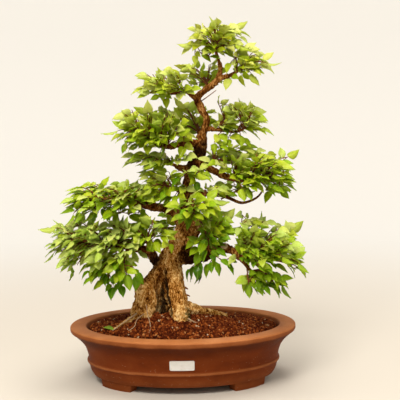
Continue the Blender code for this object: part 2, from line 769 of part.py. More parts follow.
def thicken(sheet):
    wall = sheet.modifiers.new("thickness", "SOLIDIFY")
    wall.thickness = LEAF_THICKNESS * MM
    wall.offset = 0.0
    apply_modifiers(sheet)


def thick_tree(triangles, half_thickness):
    """A search tree of triangles given a thickness."""
    points, faces = [], []
    for a, b, c in triangles:
        normal = (b - a).cross(c - a).normalized() * half_thickness
        first = len(points)
        points += [(p + normal * side) * MM for side in (1, -1) for p in (a, b, c)]
        faces += [(first, first + 1, first + 2), (first + 3, first + 4, first + 5)]
        for i in range(3):
            j = (i + 1) % 3
            faces.append((first + i, first + j, first + 3 + j))
            faces.append((first + i, first + 3 + j, first + 3 + i))
    return BVHTree.FromPolygons(points, faces)


def crosses(triangles, others):
    """Whether triangles, with their thickness and clearance, cross anything in the search trees."""
    tested = thick_tree(triangles, LEAF_THICKNESS / 2 + LEAF_CLEARANCE)
    return any(tested.overlap(other) for other in others)


def shoot_mesh(route, seed, others, fewest):
    """One leafy shoot: a flat twig with alternate leaves and one at its tip, cut from one thin sheet.

    A leaf that would cross something is turned up or down, and left out where that doesn't help.
    Returns None where the twig itself is in the way, or where fewer leaves than asked are left.
    """
    draw = random.Random(seed)
    length = sum((b - a).length for a, b in zip(route, route[1:]))
    place = route[-1]
    outward = Vector((place.x - TRUNK_AXIS[0], LEAN_DEPTH * (place.y - TRUNK_AXIS[1]), 0)).normalized()
    facing = Vector((draw.uniform(-SHEET_TILT, SHEET_TILT), draw.uniform(-SHEET_TILT, SHEET_TILT), 1))
    facing += outward * draw.uniform(*SHEET_LEANS)
    facing -= facing.project(route[-1] - route[0])  # so that a steep shoot doesn't twist

    def rail_point(distance, side):
        point, ahead = along_route(route, distance)
        across = facing.cross(ahead).normalized()
        share = min(1, distance / length)
        return point + across * side * (SHOOT_ROOT_HALF + share * (SHOOT_TIP_HALF - SHOOT_ROOT_HALF))

    rails = {side: [(0, rail_point(0, side))] for side in (1, -1)}
    places = [SHOOT_ROOT_HALF, *[i * length / SHOOT_STEPS for i in range(1, SHOOT_STEPS + 1)]]
    body = []
    for a, b in zip(places, places[1:]):
        body.append((rail_point(a, 1), rail_point(b, 1), rail_point(a, -1)))
        body.append((rail_point(b, 1), rail_point(b, -1), rail_point(a, -1)))
    if crosses(body, others):
        return None

    faces, count, grown = [], 0, []
    side = draw.choice((1, -1))
    leaves = min(MOST_LEAVES, max(1, int((length - BARE_LENGTH) / LEAF_SPACING)))
    for i in range(leaves):
        side = -side
        distance = length - (LAST_LEAF_BACK + leaves - 1 - i) * LEAF_SPACING
        if distance < BARE_LENGTH:
            continue
        point, ahead = along_route(route, distance)
        across = facing.cross(ahead).normalized() * side
        slant = math.radians(draw.uniform(*LEAF_SLANTS))
        size = LEAF_LENGTH * draw.uniform(*LEAF_SIZES) * (FIRST_LEAF_SIZE if i == 0 else 1)
        droop = draw.uniform(*LEAF_DROOPS)
        bases = [rail_point(distance - LEAF_BASE_HALF, side), rail_point(distance + LEAF_BASE_HALF, side)]
        for more in OTHER_TURNS:
            turn = Matrix.Rotation(math.radians(side * -(droop + more)), 3, ahead)
            out, up = turn @ across, turn @ facing.normalized()
            along = ahead * math.sin(slant) + out * math.cos(slant)
            wide = out * math.sin(slant) - ahead * math.cos(slant)
            outline = leaf_points(
                (bases[0] + bases[1]) / 2, along, -wide, up, size, draw.choice((1, -1))
            )
            made = leaf_faces(outline, bases)
            if not crosses(made, [*others, *grown]):
                grown.append(thick_tree(made, LEAF_THICKNESS / 2))
                rails[side] += [(distance - LEAF_BASE_HALF, bases[0]), (distance + LEAF_BASE_HALF, bases[1])]
                faces += made
                count += 1
                break
    point, ahead = along_route(route, length)
    across = facing.cross(ahead).normalized()
    dip = draw.uniform(*TIP_LEAF_DIPS)
    along = (ahead + facing.normalized() * dip).normalized()
    ends = [rail_point(length, 1), rail_point(length, -1)]
    outline = leaf_points(
        point, along, -across, along.cross(-across), LEAF_LENGTH * draw.uniform(*TIP_LEAF_SIZES), 1
    )
    made = leaf_faces(outline, ends)
    if not crosses(made, [*others, *grown]):
        faces += made
        count += 1
    for turn, end in zip((1, -1), ends):
        rails[turn].append((length, end))
    if count < fewest:
        return None

    i = j = 0
    left, right = rails[1], rails[-1]
    while i < len(left) - 1 or j < len(right) - 1:
        go_left = j == len(right) - 1 or (i < len(left) - 1 and left[i + 1][0] <= right[j + 1][0])
        further = left[i + 1][1] if go_left else right[j + 1][1]
        faces.append((left[i][1], further, right[j][1]))
        i, j = (i + 1, j) if go_left else (i, j + 1)

    return sheet_mesh(faces)


def keep_largest(mesh):
    """Drops the scraps and sealed hollows that a Boolean leaves, keeping the largest body."""
    bm = bmesh.new()
    bm.from_mesh(mesh)
    unseen, bodies = set(bm.faces), []
    while unseen:
        body, edge = set(), [unseen.pop()]
        while edge:
            face = edge.pop()
            body.add(face)
            near = {other for e in face.edges for other in e.link_faces} & unseen
            unseen -= near
            edge += near
        bodies.append(body)
    bodies.sort(key=len)
    bmesh.ops.delete(bm, geom=[face for body in bodies[:-1] for face in body], context="FACES")
    bm.to_mesh(mesh)
    bm.free()


def make_spray(name, spray, seed, parts, helpers, room, others):
    """A stem that goes on from its limb's end, with shoots to the places in its pad."""
    limb = LIMBS[name]
    last, before = Vector(limb[-1][:3]), Vector(limb[-2][:3])
    inside = last - (last - before).normalized() * STEM_OVERLAP
    start_radius = limb[-1][3] - STEM_SLIMMER
    stem_points = [inside, last, *[Vector(p) for p in spray["stem"]]]
    count = len(stem_points)
    stem = [
        (*p, start_radius + (STEM_TIP_RADIUS - start_radius) * i / (count - 1))
        for i, p in enumerate(stem_points)
    ]
    body = tube("spray_" + name, stem, 1 if start_radius > THIN_STEM else 0, parts)
    body.data.materials.append(material("leaf green"))
    boolean(body, "DIFFERENCE", room)
    keep_largest(body.data)
    starts = [Vector(p[:3]) for p in smooth_route(stem[1:], STEM_STEPS)][1:]
    own = []
    index = 0
    while len(own) < spray["shoots"] and index < 2 * TRIES * spray["shoots"]:
        route = shoot_route(spray, starts, index, seed)
        fewest = FEWEST_LEAVES if index < TRIES * spray["shoots"] else FEWEST_LEAVES - 1
        mesh = shoot_mesh(route, 100 * seed + index, [*others, *own], fewest)
        index += 1
        if mesh is None:
            continue
        shoot = add_object("shoot", mesh, helpers)
        thicken(shoot)
        if crosses_itself(shoot.data):
            bpy.data.objects.remove(shoot)
            continue
        own.append(tree_of(shoot.data))
    boolean(body, "UNION", helpers, "MANIFOLD")
    empty_collection(helpers)
    keep_largest(body.data)
    return body


def centre_on_origin(parts):
    """Hangs all parts on an empty that puts the middle of their bounding box above the origin."""
    bpy.context.view_layer.update()
    corners = [obj.matrix_world @ Vector(c) for obj in parts.objects for c in obj.bound_box]
    middle = [(min(c[i] for c in corners) + max(c[i] for c in corners)) / 2 for i in (0, 1)]
    root = bpy.data.objects.new("korean_hornbeam_bonsai", None)
    root.location = (-middle[0], -middle[1], 0.0)
    for obj in parts.objects:
        obj.parent = root
    parts.objects.link(root)


def main():
    clear_scene()
    parts = new_collection("korean_hornbeam_bonsai")
    helpers = new_collection("helpers")
    cutters = new_collection("cutters")
    make_pot(parts, helpers)
    for name, side in (("drain_screen_left", -1), ("drain_screen_right", 1)):
        make_screen(name, side * DRAIN_X, parts)
    wood = make_wood(parts, helpers)
    room = with_room(wood, cutters)
    make_grit(parts, helpers, room)
    make_label(parts)
    make_fallen_leaf(parts)
    others = [tree_of(room.data)]
    for seed, (name, spray) in enumerate(SPRAYS.items(), 1):
        body = make_spray(name, spray, seed, parts, helpers, room, others)
        others.append(tree_of(body.data))
    centre_on_origin(parts)


main()
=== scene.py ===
# Looks of a Korean hornbeam bonsai and its pot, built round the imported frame.
# Places in the tables are millimetres from the middle of the pot, at the bottom
# of its feet, with -Y towards the viewer.

import json
import math
import random

import bpy
import numpy as np
from mathutils import Matrix, Vector, noise
from mathutils.bvhtree import BVHTree
from mathutils.geometry import intersect_point_line

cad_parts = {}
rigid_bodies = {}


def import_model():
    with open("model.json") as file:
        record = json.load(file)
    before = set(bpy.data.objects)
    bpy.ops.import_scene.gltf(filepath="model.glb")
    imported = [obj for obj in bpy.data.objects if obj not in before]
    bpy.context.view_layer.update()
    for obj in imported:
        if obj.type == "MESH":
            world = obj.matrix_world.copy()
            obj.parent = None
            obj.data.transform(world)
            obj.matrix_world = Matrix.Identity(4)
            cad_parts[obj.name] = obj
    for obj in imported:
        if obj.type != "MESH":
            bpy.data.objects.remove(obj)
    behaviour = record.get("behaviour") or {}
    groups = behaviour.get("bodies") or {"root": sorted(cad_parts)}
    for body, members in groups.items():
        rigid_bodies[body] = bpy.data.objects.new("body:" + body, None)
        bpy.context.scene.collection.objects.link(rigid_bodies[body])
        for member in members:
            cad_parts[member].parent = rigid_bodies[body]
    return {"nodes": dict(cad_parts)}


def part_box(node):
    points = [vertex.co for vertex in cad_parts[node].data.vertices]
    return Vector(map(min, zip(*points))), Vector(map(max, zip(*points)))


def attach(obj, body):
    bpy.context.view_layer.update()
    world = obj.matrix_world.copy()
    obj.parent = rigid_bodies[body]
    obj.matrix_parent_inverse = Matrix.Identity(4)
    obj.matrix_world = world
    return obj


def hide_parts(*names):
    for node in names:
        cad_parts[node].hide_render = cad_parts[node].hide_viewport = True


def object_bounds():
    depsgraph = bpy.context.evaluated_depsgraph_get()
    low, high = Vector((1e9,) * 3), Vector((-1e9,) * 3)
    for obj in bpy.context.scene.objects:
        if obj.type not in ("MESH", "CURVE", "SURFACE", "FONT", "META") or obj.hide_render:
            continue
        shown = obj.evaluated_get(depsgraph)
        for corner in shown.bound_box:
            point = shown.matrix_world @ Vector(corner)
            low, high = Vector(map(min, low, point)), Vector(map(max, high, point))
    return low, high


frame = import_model()
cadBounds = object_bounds()

mm = 0.001
potLow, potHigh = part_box("pot")
potMiddle = Vector(((potLow.x + potHigh.x) / 2, (potLow.y + potHigh.y) / 2, 0.0))
toRow = Matrix.Translation(potMiddle) @ Matrix.Scale(mm, 4)  # from the tables' millimetres


# picking, shaping and finishing objects

def clamp(value, low=0.0, high=1.0):
    return min(high, max(low, value))


def pick(*objects):
    for obj in bpy.context.view_layer.objects:
        obj.select_set(obj in objects)
    bpy.context.view_layer.objects.active = objects[-1]


def editAll(obj, mode="VERT"):
    pick(obj)
    bpy.ops.object.mode_set(mode="EDIT")
    bpy.ops.mesh.select_mode(type=mode)
    bpy.ops.mesh.select_all(action="SELECT")


def endEdit():
    bpy.ops.object.mode_set(mode="OBJECT")


def selectFaces(obj, test):
    # picks the faces whose middle passes the test, and goes back to edit mode
    bpy.ops.mesh.select_mode(type="FACE")
    bpy.ops.mesh.select_all(action="DESELECT")
    endEdit()
    for face in obj.data.polygons:
        face.select = test(face.center, face.normal)
    bpy.ops.object.mode_set(mode="EDIT")


def extrudeUp(rise):
    bpy.ops.mesh.extrude_region_move(TRANSFORM_OT_translate={"value": (0, 0, rise)})


def resize(x, y, z=1, middle=(0, 0, 0)):
    bpy.ops.transform.resize(value=(x, y, z), center_override=middle)


def applyAll(obj):
    pick(obj)
    for modifier in list(obj.modifiers):
        bpy.ops.object.modifier_apply(modifier=modifier.name)
    bpy.ops.object.transform_apply(location=True, rotation=True, scale=True)


def finishPiece(obj, name, slot, *nodes):
    obj.name = obj.data.name = name
    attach(obj, "root")
    if nodes:
        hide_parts(*nodes)
    return obj


def giveAttribute(mesh, name, values):
    mesh.attributes.new(name, "FLOAT", "POINT").data.foreach_set("value", values)


def treeOf(mesh):
    mesh.calc_loop_triangles()
    return BVHTree.FromPolygons([v.co for v in mesh.vertices], [t.vertices for t in mesh.loop_triangles])


def strands(name, routes, finish, resolution=0):
    # round strands along (x, y, z, radius) points, as one mesh
    curve = bpy.data.curves.new(name, "CURVE")
    curve.dimensions, curve.use_fill_caps = "3D", True
    curve.bevel_depth, curve.bevel_resolution = mm, resolution
    for route in routes:
        spline = curve.splines.new("POLY")
        spline.points.add(len(route) - 1)
        for point, (x, y, z, radius) in zip(spline.points, route):
            point.co = (*(toRow @ Vector((x, y, z))), 1.0)
            point.radius = radius
    obj = bpy.data.objects.new(name, curve)
    bpy.context.scene.collection.objects.link(obj)
    pick(obj)
    bpy.ops.object.convert(target="MESH")
    editAll(obj)
    bpy.ops.mesh.remove_doubles(threshold=0.00001)
    bpy.ops.mesh.normals_make_consistent(inside=False)
    endEdit()
    obj.data.shade_smooth()
    obj.data.materials.clear()
    obj.data.materials.append(finish)
    return obj


def readAll(items, field, width=1, kind=float):
    values = np.empty(len(items) * width, kind)
    items.foreach_get(field, values)
    return values


def scatter(name, masters, placed, finish):
    # copies of the masters as one mesh, from a list of (master, matrix, {attribute: value})
    kinds = []
    for mesh in (master.data for master in masters):
        under = mesh.attributes.get("under")
        kinds.append((
            readAll(mesh.vertices, "co", 3).reshape(-1, 3), readAll(mesh.loops, "vertex_index", 1, int),
            readAll(mesh.polygons, "loop_total", 1, int), readAll(mesh.uv_layers[0].uv, "vector", 2),
            readAll(under.data, "value") if under else np.zeros(len(mesh.vertices)),
        ))
    columns = [[] for _ in range(5)]
    values = {key: [] for key in placed[0][2]}
    first = 0
    for kind, matrix, attributes in placed:
        points, corners, *others = kinds[kind]
        whole = np.array(toRow @ matrix)
        copied = (points @ whole[:3, :3].T + whole[:3, 3], corners + first, *others)
        for column, part in zip(columns, copied):
            column.append(part)
        for key, value in attributes.items():
            values[key].append(np.full(len(points), value))
        first += len(points)
    points, corners, sizes, uv, under = (np.concatenate(column) for column in columns)
    mesh = bpy.data.meshes.new(name)
    mesh.vertices.add(len(points))
    mesh.vertices.foreach_set("co", points.ravel())
    mesh.loops.add(len(corners))
    mesh.loops.foreach_set("vertex_index", corners)
    mesh.polygons.add(len(sizes))
    mesh.polygons.foreach_set("loop_start", np.concatenate(([0], np.cumsum(sizes)[:-1])))
    mesh.update(calc_edges=True)
    mesh.uv_layers.new(name="UVMap").uv.foreach_set("vector", uv)
    for key, lists in values.items():
        giveAttribute(mesh, key, np.concatenate(lists))
    giveAttribute(mesh, "under", under)
    mesh.validate()
    mesh.materials.append(finish)
    obj = bpy.data.objects.new(name, mesh)
    bpy.context.scene.collection.objects.link(obj)
    return obj


def smoothRoute(points, steps):
    # a finer route on a smooth curve through the points, radius included
    points = [Vector(p) for p in points]
    ends = [2 * points[0] - points[1], *points, 2 * points[-1] - points[-2]]
    route = []
    for a, b, c, d in zip(ends, ends[1:], ends[2:], ends[3:]):
        for t in (i / steps for i in range(steps)):
            route.append(0.5 * (2 * b + (c - a) * t + (2 * a - 5 * b + 4 * c - d) * t**2
                                + (3 * b - a - 3 * c + d) * t**3))
    return [*route, points[-1]]


def bowed(start, middle, target, steps):
    # points on a curve from start to target that is drawn towards middle
    return [start * (1 - t) ** 2 + middle * 2 * t * (1 - t) + target * t * t for t in steps]


# a value wraps a socket, and sums and products on it add Math nodes

class Value:
    def __init__(self, finish, socket):
        self.finish, self.socket = finish, socket

    def math(self, operation, *inputs):
        return self.finish.node("ShaderNodeMath", {"operation": operation}, dict(enumerate(inputs)))

    def __add__(self, other):
        return self.math("ADD", self, other)

    def __sub__(self, other):
        return self.math("SUBTRACT", self, other)

    def __rsub__(self, other):
        return self.math("SUBTRACT", other, self)

    def __mul__(self, other):
        return self.math("MULTIPLY", self, other)

    __radd__, __rmul__ = __add__, __mul__

    def size(self):
        return self.math("ABSOLUTE", self)

    def wave(self):
        return self.math("SINE", self)

    def limits(self, low, high):
        # 0 at low to 1 at high, eased at both ends
        return self.finish.node("ShaderNodeMapRange", {"interpolation_type": "SMOOTHSTEP"},
                                {"Value": self, "From Min": low, "From Max": high})


def connect(tree, value, socket):
    if isinstance(value, Value):
        tree.links.new(value.socket, socket)
    else:
        socket.default_value = value


class Finish:
    def __init__(self, name, roughness, specular=0.5):
        self.material = bpy.data.materials.new(name)
        self.material.use_nodes = True
        self.tree = self.material.node_tree
        self.shader = self.tree.nodes["Principled BSDF"]
        self.set("Roughness", roughness)
        self.set("Specular IOR Level", specular)
        self.coords = self.node("ShaderNodeTexCoord", output="Object")

    def node(self, kind, settings=None, inputs=None, output=0):
        made = self.tree.nodes.new(kind)
        for key, value in (settings or {}).items():
            if key == "stops":
                stops = made.color_ramp.elements
                stops[0].position, stops[1].position = value[0][0], value[-1][0]
                for place, _ in value[1:-1]:
                    stops.new(place)
                for (place, colour), stop in zip(value, sorted(stops, key=lambda s: s.position)):
                    stop.color = (*colour, 1.0)
            else:
                setattr(made, key, value)
        for key, value in (inputs or {}).items():
            connect(self.tree, value, made.inputs[key])
        return Value(self, made.outputs[output])

    def set(self, socket, value):
        connect(self.tree, value, self.shader.inputs[socket])

    def attributes(self, *names):
        return [self.node("ShaderNodeAttribute", {"attribute_name": name}, output="Fac") for name in names]

    def part(self, axis, vector=None):
        return self.node("ShaderNodeSeparateXYZ", {}, {0: vector or self.coords}, output="xyz".index(axis))

    def noise(self, scale, detail=3.0, rough=0.55, coords=None):
        return self.node("ShaderNodeTexNoise", {}, {
            "Vector": coords or self.coords, "Scale": scale, "Detail": detail, "Roughness": rough,
        })

    def cells(self, scale):
        return self.node("ShaderNodeTexVoronoi", {"feature": "F1"}, {"Vector": self.coords, "Scale": scale})

    def stretched(self, tall):
        return self.node("ShaderNodeMapping", {}, {"Vector": self.coords, "Scale": (1.0, 1.0, tall)})

    def ramp(self, value, *stops):
        return self.node("ShaderNodeValToRGB", {"stops": stops}, {0: value})

    def mix(self, factor, a, b):
        a, b = (c if isinstance(c, Value) else (*c, 1.0) for c in (a, b))
        return self.node("ShaderNodeMix", {"data_type": "RGBA", "blend_type": "MIX"},
                         {0: factor, 6: a, 7: b}, output=2)

    def bump(self, height, distance):
        # distance in millimetres
        self.set("Normal", self.node("ShaderNodeBump", {}, {
            "Height": height, "Distance": distance * mm, "Strength": 1.0,
        }))


# what each surface is made of

def clayFinish():
    clay = Finish("fired clay", 0.6, 0.06)
    height, grain, mottle = clay.part("z"), clay.noise(900.0, 3.0), clay.noise(38.0, 4.0)
    streaks = clay.noise(12.0, 3.0, coords=clay.stretched(5.0))
    mixed = mottle * 0.55 + streaks * 0.45
    dark = clay.ramp(
        mixed, (0.3, (0.098, 0.017, 0.0022)), (0.5, (0.150, 0.0275, 0.0036)), (0.7, (0.182, 0.040, 0.008)),
    )
    pale = clay.ramp(
        mixed, (0.3, (0.27, 0.084, 0.022)), (0.5, (0.35, 0.122, 0.037)), (0.7, (0.43, 0.168, 0.060)),
    )
    # The lip, its top face and the belt's edges turn pale: partly worn clay, partly painted light from above.
    beltEdges = 1 - (height - 0.0350 + (mottle - 0.5) * 0.003).size().limits(0.0008, 0.0028)
    lip = (height + (mottle - 0.5) * 0.004).limits(0.0795, 0.0835)
    top = lip * 0.38 + (height + (mottle - 0.5) * 0.001).limits(0.0870, 0.0888) * 0.62
    # painted light bounced up off the floor: the clay is paler towards the foot
    paintedBounce = (1 - height.limits(0.012, 0.036)) * 0.14
    colour = clay.mix(top + (beltEdges * 0.45 + paintedBounce) * (1 - lip), dark, pale)
    # painted shade: a dark band under the lip's overhang, outside and on the inner rim
    lipShade = height.limits(0.055, 0.077) * (1 - lip) * 0.55
    colour = clay.mix(lipShade, colour, (0.035, 0.006, 0.0008))
    colour = clay.mix(grain.limits(0.5, 0.72) * 0.3, colour, (0.10, 0.025, 0.006))
    specks = (1 - clay.cells(330.0).limits(0.05, 0.14)) * clay.noise(150.0, 1.0).limits(0.50, 0.60)
    low = 1 - height.limits(0.030, 0.080)
    clay.set("Base Color", clay.mix(specks * (0.2 + low * 0.6), colour, (0.66, 0.50, 0.36)))
    clay.set("Roughness", 0.48 + mottle * 0.25)
    clay.bump(grain * 0.4 + mottle * 0.6 + specks * 0.3, 0.5)
    return clay.material


def soilFinish():
    soil = Finish("akadama grit bed", 0.95, 0.05)
    lumps = soil.cells(260.0)
    colour = soil.mix(soil.noise(300.0).limits(0.35, 0.7), (0.040, 0.008, 0.001), (0.13, 0.030, 0.007))
    # painted shade: near black in the gaps between the lumps
    soil.set("Base Color", soil.mix(lumps.limits(0.2, 0.6), colour, (0.014, 0.003, 0.001)))
    soil.bump(1 - lumps, 2.0)
    return soil.material


def grainFinish():
    grain = Finish("akadama grains", 0.92, 0.05)
    spots = grain.noise(700.0, 3.0)
    colour = grain.ramp(
        grain.attributes("shade")[0], (0.0, (0.035, 0.004, 0.0005)), (0.35, (0.085, 0.014, 0.002)),
        (0.7, (0.155, 0.032, 0.006)), (0.93, (0.30, 0.076, 0.014)), (0.985, (0.34, 0.15, 0.050)),
        (1.0, (0.52, 0.42, 0.28)),
    )
    grain.set("Base Color", grain.mix(spots.limits(0.5, 0.75) * 0.4, colour, (0.035, 0.006, 0.001)))
    grain.bump(spots, 0.35)
    return grain.material


def barkFinish():
    bark = Finish("bark", 0.92, 0.03)
    relief, moss, young, cleft, cut = bark.attributes("relief", "moss", "young", "cleft", "cut")
    tall = bark.stretched(0.5)
    plates, flakes = (bark.noise(scale, 4.0, 0.65, coords=tall) for scale in (210.0, 500.0))
    fine = bark.noise(1000.0, 2.0, 0.6)
    low = 1 - bark.part("z").limits(0.105, 0.155)
    tint = (
        relief * 0.40 + plates.limits(0.3, 0.7) * 0.20 + flakes.limits(0.34, 0.66) * 0.24
        + fine * 0.16 + low * 0.08
    )
    old = bark.ramp(
        tint, (0.32, (0.034, 0.008, 0.0006)), (0.41, (0.145, 0.045, 0.006)), (0.50, (0.33, 0.135, 0.024)),
        (0.60, (0.54, 0.27, 0.068)), (0.72, (0.78, 0.53, 0.23)),
    )
    dark = bark.ramp(
        tint, (0.30, (0.022, 0.0045, 0.0004)), (0.40, (0.068, 0.017, 0.0018)), (0.50, (0.135, 0.041, 0.006)),
        (0.60, (0.26, 0.100, 0.020)), (0.74, (0.50, 0.26, 0.075)),
    )
    colour = bark.mix(young, old, dark)
    # painted shade: near black in the cleft between the front legs and round the shaded forks
    colour = bark.mix(cleft * (1.0 - flakes.limits(0.45, 0.7) * 0.2), colour, (0.014, 0.0042, 0.0013))
    colour = bark.mix(cut, colour, bark.mix(fine, (0.42, 0.25, 0.12), (0.66, 0.48, 0.29)))
    green = bark.mix(fine, (0.004, 0.009, 0.003), (0.026, 0.042, 0.010))
    bark.set("Base Color", bark.mix(moss * fine.limits(0.3, 0.55), colour, green))
    bark.bump(plates * 0.3 + flakes * 0.45 + fine * 0.25, 1.3)
    return bark.material


def leafFinish():
    leaf = Finish("leaf", 0.42, 0.05)
    tone, chance, under = leaf.attributes("tone", "chance", "under")
    uv = leaf.node("ShaderNodeUVMap", {"uv_map": "UVMap"})
    along, across = leaf.part("x", uv), (leaf.part("y", uv) - 0.5).size()
    ribs = ((along - across * 0.9) * (2 * math.pi * 11)).wave() * 0.5 + 0.5
    veins = ribs.limits(0.72, 1.0) * across.limits(0.0, 0.05)
    midrib = 1 - across.limits(0.006, 0.022)
    # shade follows the tone attribute, which carries painted light and shade as well as each leaf's own tone
    shade = tone + (leaf.noise(160.0, 2.0) - 0.5) * 0.25 + (1 - ribs) * 0.05
    colour = leaf.ramp(
        shade, (0.0, (0.032, 0.074, 0.001)), (0.25, (0.095, 0.186, 0.001)), (0.5, (0.25, 0.39, 0.003)),
        (0.75, (0.46, 0.56, 0.008)), (0.9, (0.63, 0.69, 0.05)), (1.0, (0.75, 0.78, 0.22)),
    )
    greener = leaf.ramp(
        shade, (0.0, (0.014, 0.062, 0.001)), (0.3, (0.048, 0.185, 0.002)), (0.6, (0.19, 0.41, 0.006)),
        (0.85, (0.46, 0.64, 0.02)), (1.0, (0.62, 0.76, 0.16)),
    )
    for share, other in (
        ((1 - chance.limits(0.1, 0.7)) * 0.85, greener), (chance.limits(0.85, 1.0) * 0.25, (0.62, 0.54, 0.03)),
        (veins * 0.15 + midrib * 0.4, (0.66, 0.72, 0.10)), (under * 0.5, (0.34, 0.42, 0.03)),
    ):
        colour = leaf.mix(share, colour, other)
    leaf.set("Base Color", colour)
    leaf.set("Roughness", 0.22 + under * 0.2 + chance * 0.08)
    leaf.set("Coat Weight", 0.22)
    leaf.set("Coat Roughness", 0.1)
    leaf.bump(1 - veins * 0.6 - midrib * 0.8 + ribs * 0.25, 0.35)
    lit = leaf.mix(0.55, colour, leaf.mix(chance, (0.40, 0.74, 0.015), (0.76, 0.80, 0.06)))
    glow = leaf.node("ShaderNodeBsdfTranslucent", {}, {"Color": lit})
    both = leaf.node("ShaderNodeMixShader", {}, {0: 0.42, 1: Value(leaf, leaf.shader.outputs[0]), 2: glow})
    connect(leaf.tree, both, leaf.tree.nodes["Material Output"].inputs["Surface"])
    return leaf.material


def paperFinish():
    paper = Finish("label paper", 0.65)
    fibre = paper.noise(1400.0, 3.0)
    colour = paper.mix(fibre, (0.70, 0.69, 0.66), (0.82, 0.82, 0.80))
    paper.set("Base Color", paper.mix(paper.noise(90.0, 3.0).limits(0.5, 0.8) * 0.4, colour, (0.55, 0.49, 0.40)))
    paper.bump(fibre, 0.05)
    return paper.material


def screenFinish():
    plastic = Finish("screen plastic", 0.45)
    haze = plastic.noise(240.0, 3.0)
    plastic.set("Base Color", plastic.mix(haze, (0.012, 0.012, 0.013), (0.045, 0.042, 0.04)))
    plastic.set("Roughness", 0.35 + haze * 0.3)
    plastic.bump(plastic.noise(900.0), 0.1)
    return plastic.material


def spottedFinish(name, roughness, specular, scale, detail, dark, pale, rise):
    spotted = Finish(name, roughness, specular)
    spots = spotted.noise(scale, detail)
    spotted.set("Base Color", spotted.mix(spots, dark, pale))
    spotted.bump(spots, rise)
    return spotted.material


finishes = {
    "clay": clayFinish(), "soil": soilFinish(), "grain": grainFinish(), "bark": barkFinish(),
    "twig": spottedFinish("twig", 0.7, 0.15, 500.0, 2.0, (0.075, 0.020, 0.004), (0.24, 0.082, 0.018), 0.15),
    "leaf": leafFinish(), "paper": paperFinish(), "screen": screenFinish(),
    "rootlet": spottedFinish("rootlet", 0.85, 0.5, 260.0, 3.0, (0.22, 0.11, 0.05), (0.52, 0.36, 0.2), 0.3),
}
for name in ("soil", "drain_screen_left", "drain_screen_right"):
    materials = frame["nodes"][name].data.materials
    materials.clear()
    materials.append(finishes["soil" if name == "soil" else "screen"])
print("finishes made")


# floor, lights and camera
studio = {
    "cameraPlace": (29.8, -1200, 387), "pitch": -4.77, "roll": 0.75, "lens": 68.4,
    "floorRadius": 1.7, "wallRadius": 2.6, "wallHeight": 2.4, "curveSteps": 12,
    "paint": (0.525, 0.477, 0.416), "paintGlow": (0.36, 0.375, 0.375),
    "worldColour": (1.0, 0.94, 0.84), "worldStrength": 0.60,
    "lights": {  # place, size, power, colour
        "key": ((-0.5, -1.6, 2.1), 0.9, 56, (1.0, 0.97, 0.90)),
        "top": ((0.1, -0.2, 2.3), 1.3, 39, (1.0, 0.97, 0.91)),
        "fill": ((2.1, -1.5, 1.5), 1.8, 19, (1.0, 0.94, 0.86)),
    },
}


def makeStage():
    # a round pale floor, and a wall that curves up from its rim
    floorRadius, steps = studio["floorRadius"], studio["curveSteps"]
    depth = studio["wallRadius"] - floorRadius
    paint = Finish("studio paint", 0.95)
    paint.set("Base Color", (*studio["paint"], 1.0))
    far = paint.node("ShaderNodeVectorMath", {"operation": "LENGTH"}, {0: paint.coords}, output=1)
    paint.set("Emission Color", paint.mix(far.limits(0.3, 1.9), (0, 0, 0), studio["paintGlow"]))
    paint.set("Emission Strength", 1.0)
    bpy.ops.mesh.primitive_circle_add(vertices=96, radius=floorRadius, fill_type="NGON")
    floor = bpy.context.object
    bpy.ops.mesh.primitive_circle_add(vertices=96, radius=floorRadius, fill_type="NOTHING")
    wall = bpy.context.object
    editAll(wall, "EDGE")
    radius, height = floorRadius, 0.0
    for i in range(1, steps + 1):
        turn = math.pi / 2 * i / steps
        nextRadius, nextHeight = floorRadius + depth * math.sin(turn), depth * (1 - math.cos(turn))
        extrudeUp(nextHeight - height)
        resize(nextRadius / radius, nextRadius / radius)
        radius, height = nextRadius, nextHeight
    extrudeUp(studio["wallHeight"] - height)
    endEdit()
    wall.data.shade_smooth()
    wall.visible_diffuse = False
    for obj, name in ((floor, "floor"), (wall, "backdrop")):
        obj.name = name
        obj.data.materials.append(paint.material)


def makeStudio():
    makeStage()
    scene = bpy.context.scene
    scene.world = bpy.data.worlds.new("studio")
    scene.world.use_nodes = True
    background = scene.world.node_tree.nodes["Background"]
    background.inputs["Color"].default_value = (*studio["worldColour"], 1)
    background.inputs["Strength"].default_value = studio["worldStrength"]
    for name, (place, size, power, colour) in studio["lights"].items():
        bpy.ops.object.light_add(type="AREA", location=place)
        light = bpy.context.object
        light.name = name
        light.rotation_euler = (Vector((0, 0, 0.3)) - Vector(place)).to_track_quat("-Z", "Y").to_euler()
        light.data.size, light.data.energy, light.data.color = size, power, colour
    bpy.ops.object.camera_add()
    camera = scene.camera = bpy.context.object
    camera.matrix_world = (
        Matrix.Translation(toRow @ Vector(studio["cameraPlace"]))
        @ Matrix.Rotation(math.radians(90 + studio["pitch"]), 4, "X")
        @ Matrix.Rotation(math.radians(-studio["roll"]), 4, "Z")
    )
    camera.data.lens, camera.data.sensor_width = studio["lens"], 36
    scene.view_settings.view_transform = "Standard"


makeStudio()
print("studio set")


